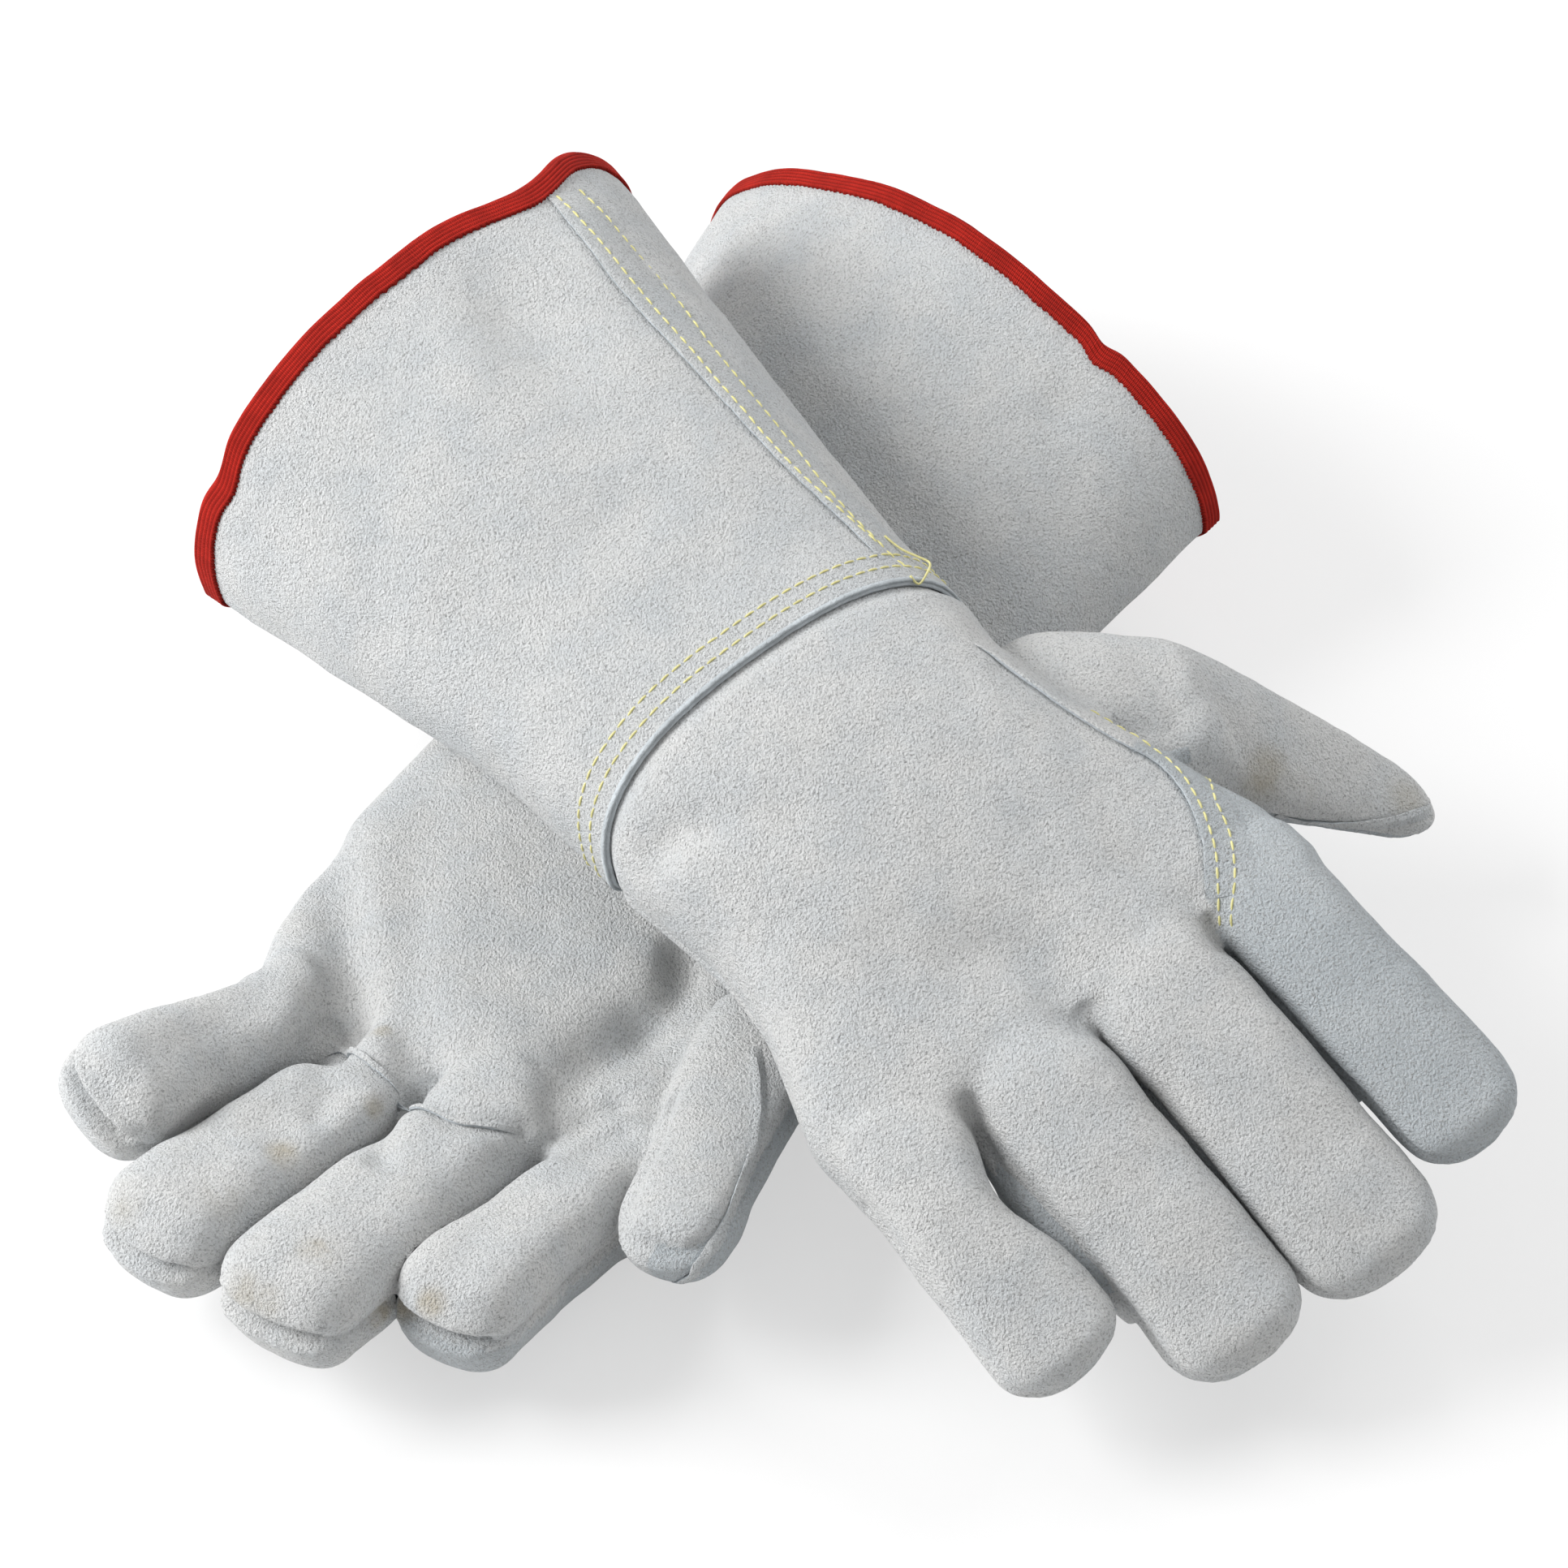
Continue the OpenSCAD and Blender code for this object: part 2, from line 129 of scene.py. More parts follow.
# A pixel just off a glove's edge takes the nearest surface, up to this far away in millimetres
MISS = 12.0


def ray_of(pixel):
    """Direction from the camera through a pixel of the photograph."""
    ahead = np.array([0.0, math.cos(CAMERA_RISE), -math.sin(CAMERA_RISE)])
    above = np.array([0.0, math.sin(CAMERA_RISE), math.cos(CAMERA_RISE)])
    across = SENSOR / LENS / PICTURE
    x = (pixel[0] - PICTURE / 2) * across
    y = (PICTURE / 2 - pixel[1]) * across
    return Vector(ahead + np.array([1.0, 0.0, 0.0]) * x + above * y).normalized()


# Sizes of the pattern in millimetres, as the CAD solids have them
CUFF_L = 156.0
CUFF_LAP = 14.0
WRIST_BOW = 8.0
HAND_L = 108.0
HINGE_BACK = 9.0
SIDE_ROOM = 3.0
KNUCKLE_H = 15.0
FINGER_L = (80.0, 92.0, 87.0, 67.0)
FINGER_W = (31.0, 37.0, 35.0, 32.0)
FINGER_H = (26.0, 28.0, 28.0, 26.0)
FINGER_GAP = 1.2
THUMB_L = 103.0
ROUND = 0.82
KNUCKLE_ROUND = 0.62
FINGER_ROUND = 0.66
LAP_GAP = 0.2
LEATHER = 1.6
CUFF_IN = LAP_GAP
CUFF_OUT = LAP_GAP + LEATHER
TAPE_OUT = 3.2
REST_RUN = 40.0
FLAT_REST = 0.8
FLARE = 0.8
HAND_START = -CUFF_LAP - WRIST_BOW
FINGER_ROOT = HAND_L - HINGE_BACK
HAND_EASE = 1.4
THUMB_CLEAR = 0.6
# Shares of a digit's length: where it has turned, how wide a waist is, and where its tip starts to close
TURNED_AT = 0.3
WAIST_SPREAD = 0.2
THUMB_BASE_AT = 0.25
TIP_AT = 0.92
TIP_RUN = 0.08
LEAST_END = 0.12
# The webs between fingers: extra width that joins them, and the run over which it fades
WEB_JOIN = 4.9
WEB_FADE = 7.0


class Glove:
    """One glove's pattern: +u to the fingertips, +v to the thumb, +w out of the back of the hand."""

    def __init__(self, side, axes, at, mouth, wrist, shift, squeeze, drawn_in, rim, kinks, poses,
                 thumb, look):
        self.side = side
        self.axes = axes
        self.at = np.array(at)
        self.mouth = np.array(mouth)
        self.wrist = np.array(wrist)
        self.widths = [w * squeeze for w in FINGER_W]
        across = sum(self.widths) + 3 * FINGER_GAP
        self.knuckle = np.array([across / 2 + SIDE_ROOM, KNUCKLE_H, KNUCKLE_H, shift, KNUCKLE_ROUND])
        starts = np.cumsum([0.0] + [w + FINGER_GAP for w in self.widths])
        self.finger_v = [shift + across / 2 - starts[i] - self.widths[i] / 2 for i in range(4)]
        self.drawn_in = drawn_in
        self.more, self.skew, self.bow = rim
        self.kinks = kinks
        self.poses = poses
        self.thumb = thumb
        self.look = look

    def to_part(self, p):
        return self.at + np.asarray(p) @ self.axes.T

    def to_pattern(self, p):
        return (np.asarray(p) - self.at) @ self.axes

    def section(self, u):
        """Half width, back height, palm depth, sideways shift and roundness at station u."""
        u = np.asarray(u, float)[..., None]
        flared = smooth(-u / CUFF_L * FLARE) / smooth(FLARE)
        cuff = self.wrist + (self.mouth - self.wrist) * flared
        along = np.clip(u / HAND_L, 0.0, 1.2)
        hand = self.wrist + (self.knuckle - self.wrist) * smooth(along ** HAND_EASE)
        drawn = self.drawn_in * np.sin(np.pi * np.clip(along, 0.0, 1.0)) ** 2
        hand = hand + drawn * np.array([-1.0, 0.0, 0.0, 1.0, 0.0])
        return np.where(u < 0, cuff, hand)

    def middle(self, u):
        """Height of the section's middle: the left glove lies along the table."""
        if self.side == "right":
            return np.zeros(np.shape(u))
        rest = TAPE_OUT + (-FLAT_REST - TAPE_OUT) * smooth(np.asarray(u, float) / REST_RUN)
        return self.wrist[1] - self.section(u)[..., 1] - rest

    def skin(self, u, q, d):
        """Part-frame points at stations u and angles q in degrees, moved out by d."""
        u, q, d = np.broadcast_arrays(np.asarray(u, float), np.radians(q), np.asarray(d, float))
        s = self.section(u)
        c, n = np.cos(q), np.sin(q)
        tall = np.where(n > 0, s[..., 1], s[..., 2]) + d
        v = (s[..., 0] + d) * np.sign(c) * np.abs(c) ** s[..., 4] + s[..., 3]
        creased = np.where(n > 0, self.look["crease"] * smooth(-u / CUFF_L), 0.0)
        w = tall * np.sign(n) * np.abs(n) ** (s[..., 4] + creased) + self.middle(u)
        p = self.to_part(np.stack([u, v, w], axis=-1))
        p[..., 2] = np.maximum(p[..., 2], np.maximum(0.0, -d))
        return p

    def mouth_u(self, q):
        """Station of the cuff's mouth at angle q, drawn in at the kinks of its edge."""
        a = np.radians(q)
        drawn = sum(deep * np.exp(-((q - at) / wide) ** 2) for at, wide, deep in self.kinks)
        return -CUFF_L - self.more - self.bow * np.abs(np.sin(a)) + self.skew * np.cos(a) + drawn

    def wrist_u(self, q):
        return -WRIST_BOW * np.maximum(0.0, np.sin(np.radians(q)))

    def finger_way(self, i, t):
        """Forward, side and up directions of finger i at shares t of its length."""
        yaw, bend, curl, twist = self.poses[i]
        turn_in = smooth(t / TURNED_AT)
        a = np.radians(yaw * turn_in)
        b = np.radians(bend * turn_in + curl * t)
        f = np.stack([np.cos(b) * np.cos(a), np.cos(b) * np.sin(a), -np.sin(b)], axis=-1)
        side = np.stack([-np.sin(a), np.cos(a), np.zeros_like(a)], axis=-1)
        up = np.cross(f, side)
        k = np.radians(twist * smooth(t))[:, None]
        return f, side * np.cos(k) + up * np.sin(k), up * np.cos(k) - side * np.sin(k)

    def thumb_way(self, t):
        _, out, ahead, turn_share = self.thumb
        mixed = np.array(out) + (np.array(ahead) - np.array(out)) * smooth(t / turn_share)[:, None]
        f = unit(mixed)
        side = unit(np.stack([-f[:, 1], f[:, 0], np.zeros(len(f))], axis=-1))
        return f, side, np.cross(f, side)

    def thumb_root(self):
        u, away, w = self.thumb[0]
        s = self.section(u)
        return np.array([u, s[3] + s[0] + THUMB_CLEAR + away, w + float(self.middle(u))])

    def digit(self, k, count=48):
        """Centre line and directions of digit k, with its width and height, from its root to its tip."""
        t = np.sin(np.linspace(0.0, np.pi / 2, count))
        look = self.look
        if k < 4:
            long = FINGER_L[k] + HINGE_BACK - look["short"][k]
            webbed = WEB_JOIN * (1 - eased(t * long, look["web"], WEB_FADE))
            width = self.widths[k] - look["ease"] + webbed + look["swell"] * smooth(t)
            height, tip = FINGER_H[k] + look["stout"], look["tip"]
            f, side, up = self.finger_way(k, t)
            root = np.array([FINGER_ROOT, self.finger_v[k], float(self.middle(FINGER_ROOT))])
            at, dip = look["waist"].get(k, (0.4, 0.0))
            dip = dip * np.exp(-((t - at) / WAIST_SPREAD) ** 2)
            moved = -side * (dip / 2 + look["lean"][k] * smooth(t))[:, None]
            width = width - dip
        else:
            long = THUMB_L + look["thumb_more"]
            width = look["thumb_w"] * (1 + (look["thumb_taper"] - 1) * t ** 1.5)
            height, tip = look["thumb_h"], look["thumb_tip"]
            f, side, up = self.thumb_way(t)
            root = self.thumb_root()
            start, finish = np.array(look["thumb_base"]), np.array(look["thumb_moved"])
            later = eased(t, THUMB_BASE_AT, 1 - THUMB_BASE_AT)[:, None]
            moved = start * smooth(t / THUMB_BASE_AT)[:, None] + (finish - start) * later
        step = np.diff(t) * long
        mid = (f[1:] + f[:-1]) / 2
        line = root + np.vstack([np.zeros(3), np.cumsum(mid * step[:, None], axis=0)]) + moved
        left = np.clip((t - look["blunt"]) / (1 - look["blunt"]), 0.0, 1.0)
        width = width * np.maximum(LEAST_END, 1 - left ** 3) ** 0.5
        end = np.clip((t - TIP_AT) / TIP_RUN, 0.0, 1.0)
        height = (height + (tip - height) * smooth(t)) * np.sqrt(np.maximum(LEAST_END, 1 - end ** 2.2))
        return {"line": line, "f": f, "side": side, "up": up, "w": width, "h": height, "t": t}


# How each glove's digits are filled: where the webs part, how fingers swell, lean, narrow and end
RIGHT_LOOK = {
    "web": 8.0, "short": (1.0, 3.0, 2.0, 4.0), "ease": 1.9, "fill": 0.8, "swell": 1.5, "stout": 1.0,
    "tip": 16.0, "blunt": 0.83, "waist": {3: (0.42, 7.0)}, "lean": (0.0, 0.0, 0.0, 0.0), "lumps": 0.5,
    "thumb_more": 2.0, "thumb_w": 46.0, "thumb_h": 30.0, "thumb_taper": 0.34, "thumb_tip": 10.0,
    "thumb_base": (9.0, -7.0, -1.0), "thumb_moved": (2.0, 4.0, -5.0), "thumb_seam": -1.0,
    "slit": 1.8, "lip": 0.4, "crease": 0.0,
}
LEFT_LOOK = {
    "web": 13.0, "short": (14.0, 4.0, 0.0, 0.0), "ease": 3.0, "fill": 1.4, "swell": 4.5, "stout": 3.0,
    "tip": 26.0, "blunt": 0.87, "waist": {}, "lean": (7.2, 4.5, 3.3, 1.5), "lumps": 1.2,
    "thumb_more": 0.0, "thumb_w": 38.5, "thumb_h": 21.0, "thumb_taper": 0.55, "thumb_tip": 15.0,
    "thumb_base": (2.0, -14.0, -2.0), "thumb_moved": (6.0, -5.0, 0.0), "thumb_seam": -4.5,
    "slit": 5.5, "lip": 1.4, "crease": 0.7,
}
RIGHT_GLOVE = Glove(
    "right", turned("X", 11) @ turned("Y", -5) @ turned("Z", -51.8), [0.6, -27.4, 64.0],
    [77.7, 43, 24, -4.8, 0.86], [55, 34, 16, 0, ROUND], 4.0, 1.0, 2.5, (0.0, -16.0, 4.0),
    ((58, 14, 7.0), (141, 6, 2.0)),
    [(1, 4, 10, 0), (0, 6, 12, 0), (-1, 6, 12, 0), (-2, 4, 12, 0)],
    ((34, 1.5, -3), (-0.12, 0.98, -0.10), (0.76, 0.48, -0.50), 0.42), RIGHT_LOOK)
LEFT_GLOVE = Glove(
    "left", turned("Z", 238.6) @ np.diag([1, 1, -1]), [-31.4, -4.4, 15.0],
    [86, 40, 41.5, -8, 1.08], [60, 15, 14, -3, ROUND], 5.0, 0.87, -3.0, (11.0, 18.0, 2.0),
    ((304, 3, 1.8),),
    [(4, 16, -4, 0), (-1, 15, -4, 0), (-5, 15, -4, 0), (-9, 24, 0, 25)],
    ((40, 1.5, -3), (-0.05, 0.97, -0.22), (0.97, 0.08, -0.12), 0.31), LEFT_LOOK)
GLOVES = (RIGHT_GLOVE, LEFT_GLOVE)


def sizes():
    return bpy.context.scene.glove_sizes


def colours():
    return bpy.context.scene.glove_colours


def deselect():
    bpy.ops.object.select_all(action="DESELECT")


def select_only(obj):
    deselect()
    obj.select_set(True)
    bpy.context.view_layer.objects.active = obj


def piece(name, points, faces, material):
    """A mesh object at the origin from part-frame points in millimetres."""
    mesh = bpy.data.meshes.new(name)
    mesh.from_pydata((np.asarray(points) * MM).tolist(), [], [list(map(int, f)) for f in faces])
    mesh.update()
    obj = bpy.data.objects.new(name, mesh)
    bpy.context.scene.collection.objects.link(obj)
    if material:
        mesh.materials.append(material)
    mesh.polygons.foreach_set("use_smooth", np.ones(len(mesh.polygons), bool))
    return obj


def apply_modifier(obj, kind, **settings):
    select_only(obj)
    modifier = obj.modifiers.new(kind.title(), kind)
    for key, value in settings.items():
        setattr(modifier, key, value)
    bpy.ops.object.modifier_apply(modifier=modifier.name)


def points_of(obj):
    co = np.empty(len(obj.data.vertices) * 3)
    obj.data.vertices.foreach_get("co", co)
    return co.reshape(-1, 3) / MM


def normals_of(obj):
    n = np.empty(len(obj.data.vertices) * 3)
    obj.data.vertex_normals.foreach_get("vector", n)
    return n.reshape(-1, 3)


def move_points(obj, points):
    obj.data.vertices.foreach_set("co", (points * MM).ravel())
    obj.data.update()


def tree_of(obj):
    """Search tree over a mesh's faces, in millimetres."""
    faces = [tuple(f.vertices) for f in obj.data.polygons]
    return BVHTree.FromPolygons([Vector(p) for p in points_of(obj)], faces)


def seen(tree, pixel):
    """Where the photograph's pixel falls on a surface: place and normal."""
    eye, ray = Vector(CAMERA_AT), ray_of(pixel)
    place, normal, _, _ = tree.ray_cast(eye, ray)
    if place is None:
        near = [tree.find_nearest(eye + ray * d) for d in np.arange(*SEARCH)]
        place, normal, _, far = min(near, key=lambda hit: hit[3])
        if far > MISS:
            raise RuntimeError(f"pixel {pixel} misses the surface by {far:.1f} mm")
    return np.array(place), np.array(normal)


def seen_path(tree, pixels):
    return np.array([seen(tree, p)[0] for p in pixels])


def even_path(points, step, closed=False):
    """The same path as points a set distance apart, on a smooth curve through them."""
    points = np.asarray(points, float)
    n = len(points)
    fine = []
    for k in range(n if closed else n - 1):
        ids = [k - 1, k, k + 1, k + 2]
        p0, p1, p2, p3 = [points[i % n] if closed else points[min(max(i, 0), n - 1)] for i in ids]
        for t in np.linspace(0, 1, 12, endpoint=False):
            fine.append(0.5 * (2 * p1 + (p2 - p0) * t + (2 * p0 - 5 * p1 + 4 * p2 - p3) * t ** 2
                               + (3 * p1 - p0 - 3 * p2 + p3) * t ** 3))
    fine.append(points[0] if closed else points[-1])
    fine = np.array(fine)
    run = np.concatenate([[0], np.cumsum(np.linalg.norm(np.diff(fine, axis=0), axis=1))])
    count = max(2, int(round(run[-1] / step)))
    at = np.linspace(0, run[-1], count + 1)
    return np.stack([np.interp(at, run, fine[:, i]) for i in range(3)], axis=-1)


def from_path(points, path):
    """Distance of each point to a path of straight steps."""
    best = np.full(len(points), 1e9)
    for a, b in zip(path[:-1], path[1:]):
        ab = b - a
        t = np.clip(((points - a) @ ab) / max(ab @ ab, 1e-9), 0, 1)
        best = np.minimum(best, np.linalg.norm(points - (a + t[:, None] * ab), axis=1))
    return best


def waves(points, size, seed):
    """Soft noise from -1 to 1 with swells about size millimetres across."""
    shift = Vector((seed * 7.3, seed * 3.1, seed * 5.7))
    return np.array([noise.noise(Vector(p) / size + shift) for p in points])


def swells(points, kinds):
    """Sum of soft noises, each given as its height, size and seed."""
    return sum(height * waves(points, size, seed) for height, size, seed in kinds)


def flipped(faces):
    return [tuple(reversed(f)) for f in faces]


def band_faces(rows, around):
    """Faces of a skin that closes round itself over rows of points."""
    faces = []
    for i in range(rows - 1):
        for j in range(around):
            k = (j + 1) % around
            faces.append((i * around + j, i * around + k, (i + 1) * around + k, (i + 1) * around + j))
    return faces


def ring_faces(rows, around, flip):
    """Faces of a skin that closes both ways over rows of points."""
    faces = []
    for i in range(rows):
        for j in range(around):
            k, b = (j + 1) % around, (i + 1) % rows
            faces.append((i * around + j, b * around + j, b * around + k, i * around + k))
    return flipped(faces) if flip else faces


def joined(parts):
    """The points and faces of several skins, as one list of each."""
    points, faces, base = [], [], 0
    for p, fs in parts:
        points.append(p)
        faces.extend([tuple(i + base for i in f) for f in fs])
        base += len(p)
    return np.vstack(points), faces


def loft(rings):
    """Closed skin over rings of points, with a middle point at each end."""
    m, n = len(rings), len(rings[0])
    points = np.vstack([np.vstack(rings), rings[0].mean(axis=0), rings[-1].mean(axis=0)])
    faces = band_faces(m, n)
    first, last = m * n, m * n + 1
    for j in range(n):
        k = (j + 1) % n
        faces.append((first, k, j))
        faces.append((last, (m - 1) * n + j, (m - 1) * n + k))
    return points, faces


RING = np.linspace(0, 360, 56, endpoint=False)
# Stations of the hand's rings, and the shares to which its last ones are drawn in
HAND_STATIONS = np.concatenate([np.arange(-24, 100, 4.0), [101.0, 105.0, 108.0]])
HAND_ROUNDING = {92.0: 0.995, 96.0: 0.985, 101.0: 0.965, 105.0: 0.93, 108.0: 0.84}


def oval(width, height, power):
    """Offsets across and up of a rounded ring."""
    c, s = np.cos(np.radians(RING)), np.sin(np.radians(RING))
    return (width / 2 * np.sign(c) * np.abs(c) ** power, height / 2 * np.sign(s) * np.abs(s) ** power)


def station(d, share):
    """The station of digit d that is nearest to a share of its length."""
    return int(np.abs(d["t"] - share).argmin())


def ring_at(glove, d, i, centre, offsets):
    """A ring of part-frame points round a centre, square to digit d at its station i."""
    a, b = offsets
    return glove.to_part(centre + a[:, None] * d["side"][i] + b[:, None] * d["up"][i])


# The gusset strip in the open gap beside the right ring finger: share of the finger and its bulge
GUSSET = ((0.08, 0.3), (0.16, 0.8), (0.28, 1.0), (0.42, 1.0), (0.54, 0.9), (0.66, 0.55), (0.74, 0.2))
GUSSET_W = 11.0
GUSSET_H = 15.0
GUSSET_DOWN = 5.5
GUSSET_SUNK = 1.0


def gusset(glove):
    """A leather strip along the little finger's side of the ring finger, below the edge of the back."""
    d = glove.digit(2)
    rings = []
    for share, bulge in GUSSET:
        i = station(d, share)
        middle = d["line"][i] - d["side"][i] * (d["w"][i] / 2 - GUSSET_SUNK) - d["up"][i] * GUSSET_DOWN
        offsets = oval(GUSSET_W * bulge, GUSSET_H * (0.5 + 0.5 * bulge), ROUND)
        rings.append(ring_at(glove, d, i, middle, offsets))
    return loft(rings)


# The web between the right thumb and the index panel: station on the hand, depth in its side, height
# there, share of the thumb, width, height and rings
WEB_U = 54.0
WEB_DEEP = 12.0
WEB_LEVEL = -3.0
WEB_T = 0.34
WEB_W = 36.0
WEB_H = 25.0
WEB_RINGS = 7


def web(glove):
    """A filled web from the side of the hand to the thumb."""
    d = glove.digit(4)
    s = glove.section(WEB_U)
    start = np.array([WEB_U, s[3] + s[0] - WEB_DEEP, WEB_LEVEL])
    run = d["line"][station(d, WEB_T)] - start
    side = unit(np.cross((0.0, 0.0, 1.0), run))
    up = unit(np.cross(run, side))
    a, b = oval(WEB_W, WEB_H, ROUND)
    rings = []
    for share in np.linspace(0, 1, WEB_RINGS):
        rings.append(glove.to_part(start + run * share + a[:, None] * side + b[:, None] * up))
    return loft(rings)


# The side strips between the right fingers: width, height, how far below the middle, how far out of the
# side of each finger, the shares of the finger from end to end, and the bulge's start, run and bluntness
FORK_W = 12.0
FORK_H = 14.0
FORK_DOWN = 5.0
FORK_OUT = (1.5, 1.5, 7.5)
FORK_SHARES = np.linspace(0.14, 0.70, 16)
FORK_START = 0.12
FORK_RUN = 0.60
FORK_BLUNT = 0.55


def fourchette(glove, k, out):
    """The strip of cooler hide on the side of finger k that faces the next finger, reaching out of it."""
    d = glove.digit(k)
    rings = []
    for share in FORK_SHARES:
        i = station(d, share)
        bulge = math.sin(math.pi * (share - FORK_START) / FORK_RUN) ** FORK_BLUNT
        reach = d["w"][i] / 2 - FORK_W / 2 + out * bulge
        middle = d["line"][i] - d["side"][i] * reach - d["up"][i] * FORK_DOWN
        rings.append(ring_at(glove, d, i, middle, oval(FORK_W, FORK_H * bulge, ROUND)))
    points, faces = loft(rings)
    obj = piece(glove.side + "_" + FINGERS[k] + "_fourchette", points, faces, made["suede"])
    mark_all(obj, "cool", 1.0)
    hang(obj, glove, k + 1)


def hang(obj, glove, k):
    """Puts a piece on the hand, or, for digit k, bakes the piece's place into its mesh."""
    hand = glove.side + "_hand"
    if k == 0:
        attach(obj, hand)
        return
    if k < 5:
        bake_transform(obj)
    else:
        root = Vector(glove.to_part(glove.thumb_root()) * MM)
        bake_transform(obj)


# How far a digit's skin starts inside the hand, and its size there, for a finger and for the thumb
ROOT_DEPTH = (22.0, 16.0)
ROOT_SHARE = (0.4, 0.84)
# Share taken off the outer side of the little finger's root, so that it runs on from the hand's edge
LITTLE = 3
LITTLE_SLIM = 0.1
SLIM_AT = 0.13
SLIM_RUN = 0.07


def hand_blank(glove):
    """Rings of the hand and of each digit, as separate closed skins that overlap."""
    parts = []
    rings = []
    for u in HAND_STATIONS:
        ring = glove.skin(np.full(len(RING), u), RING, 0.0)
        rings.append(ring.mean(axis=0) + (ring - ring.mean(axis=0)) * HAND_ROUNDING.get(u, 1.0))
    parts.append(loft(rings))
    for k in range(5):
        d = glove.digit(k)
        kind = 0 if k < 4 else 1
        into = -d["f"][0] * ROOT_DEPTH[kind]
        stations = [(d["line"][0] + into, 0, ROOT_SHARE[kind])]
        stations += [(d["line"][i], i, 1.0) for i in range(len(d["t"]))]
        rings = []
        for centre, i, share in stations:
            a, b = oval(d["w"][i] * share, d["h"][i] * share, FINGER_ROUND if k < 4 else ROUND)
            if k == LITTLE:
                slim = 1 - LITTLE_SLIM * (1 - eased(d["t"][i], SLIM_AT, SLIM_RUN))
                a = np.where(a < 0, a * slim, a)
            rings.append(ring_at(glove, d, i, centre, (a, b)))
        parts.append(loft(rings))
    if glove.side == "right":
        parts.append(gusset(glove))
        parts.append(web(glove))
    else:
        parts = [(p, flipped(fs)) for p, fs in parts]
    return joined(parts)


# Creases and swells of each hand, as the photograph shows them: pixels, depth and half width in mm
RIGHT_FOLDS = (
    (((960, 1010), (870, 1018), (815, 1046)), 3.0, 6.0),
    (((980, 1080), (900, 1075), (822, 1090)), -1.6, 12.0),
    (((1370, 1010), (1432, 1078), (1476, 1108)), 2.4, 7.0),
    (((1470, 1105), (1490, 1140), (1500, 1165)), 1.8, 4.0),
    (((1120, 1190), (1200, 1180), (1275, 1188), (1322, 1236)), 2.8, 9.0),
    (((1280, 1150), (1300, 1200), (1335, 1265)), 1.2, 5.0),
    (((1330, 1190), (1370, 1240), (1400, 1290)), -1.4, 8.0),
    (((1240, 1290), (1200, 1330), (1196, 1368)), 2.0, 4.5),
    (((1330, 905), (1420, 925), (1476, 930)), 0.6, 5.0),
    (((1440, 775), (1464, 850), (1478, 912)), -3.0, 7.0),
)
LEFT_FOLDS = (
    (((404, 1050), (428, 1150), (434, 1235), (408, 1286)), 8.5, 8.0),
    (((330, 1215), (380, 1230), (405, 1280)), 1.8, 6.0),
    (((350, 1110), (368, 1180), (362, 1255)), -3.0, 9.0),
    (((520, 1040), (500, 1140), (492, 1240), (510, 1310)), 4.0, 8.0),
    (((450, 1060), (462, 1160), (465, 1270)), -3.0, 8.0),
    (((560, 1080), (575, 1200), (600, 1330)), -2.0, 15.0),
    (((395, 1316), (415, 1298), (470, 1325), (500, 1360), (560, 1385), (640, 1396)), 2.6, 3.4),
    (((720, 1290), (785, 1278), (832, 1228), (845, 1178)), 5.5, 6.5),
    (((685, 1410), (702, 1350), (738, 1300), (785, 1262)), 6.0, 8.0),
    (((620, 1260), (640, 1330), (655, 1390)), -1.6, 7.0),
    (((520, 1340), (490, 1375), (470, 1430)), 2.6, 4.0),
    (((250, 1400), (330, 1380), (395, 1335)), 1.8, 6.0),
    (((660, 1440), (600, 1500), (560, 1560)), 1.8, 7.0),
    (((690, 1412), (720, 1380), (762, 1360)), 2.4, 3.5),
    (((700, 1445), (735, 1410), (768, 1394)), 1.8, 3.5),
    (((455, 1330), (420, 1345), (392, 1374)), 2.2, 4.0),
    (((245, 1415), (252, 1370), (272, 1328)), 1.8, 6.0),
    (((560, 1480), (600, 1440), (640, 1420)), 1.8, 5.0),
    (((300, 1480), (330, 1450), (345, 1410)), 1.6, 6.0),
)
FOLDS = {"right": RIGHT_FOLDS, "left": LEFT_FOLDS}
# Brown handling marks: pixel, reach in millimetres and strength
STAINS = {
    "right": (((1560, 955), 9, 0.5), ((1600, 975), 7, 0.35), ((1735, 985), 8, 0.25)),
    "left": (((468, 1618), 4.5, 0.75), ((500, 1611), 4.5, 0.75), ((532, 1605), 4.5, 0.65),
             ((394, 1542), 6, 0.7), ((348, 1421), 5, 0.6), ((470, 1270), 3.5, 0.55),
             ((150, 1480), 7, 0.25), ((300, 1590), 6, 0.5), ((330, 1602), 5, 0.5), ((462, 1362), 4, 0.5),
             ((269, 1472), 7, 0.3)),
}
# The seam of the right glove's index side panel, from the crotch of the fingers to the cuff
SIDE_SEAM = ((1487, 1108), (1484, 1082), (1478, 1031), (1458, 981), (1423, 941), (1382, 919),
             (1332, 889), (1272, 848), (1222, 810), (1198, 793))
# The cross seam between the index side panel and the thumb's panel
CROSS_SEAM = (1450, 924)
CROSS_EDGE = ((1426, 932), (1444, 925), (1464, 919))


def digit_places(glove, pattern):
    """For each digit: distance to its line, share of its length, half width, side and up offsets."""
    places = []
    for k in range(5):
        d = glove.digit(k)
        far = ((pattern[:, None, :] - d["line"][None, ::2, :]) ** 2).sum(axis=2)
        i = far.argmin(axis=1) * 2
        gap = pattern - d["line"][i]
        row = {"far": np.sqrt(far.min(axis=1)), "t": d["t"][i], "half": d["w"][i] / 2}
        for key in ("side", "up"):
            row[key] = (gap * d[key][i]).sum(axis=1)
        places.append(row)
    return places


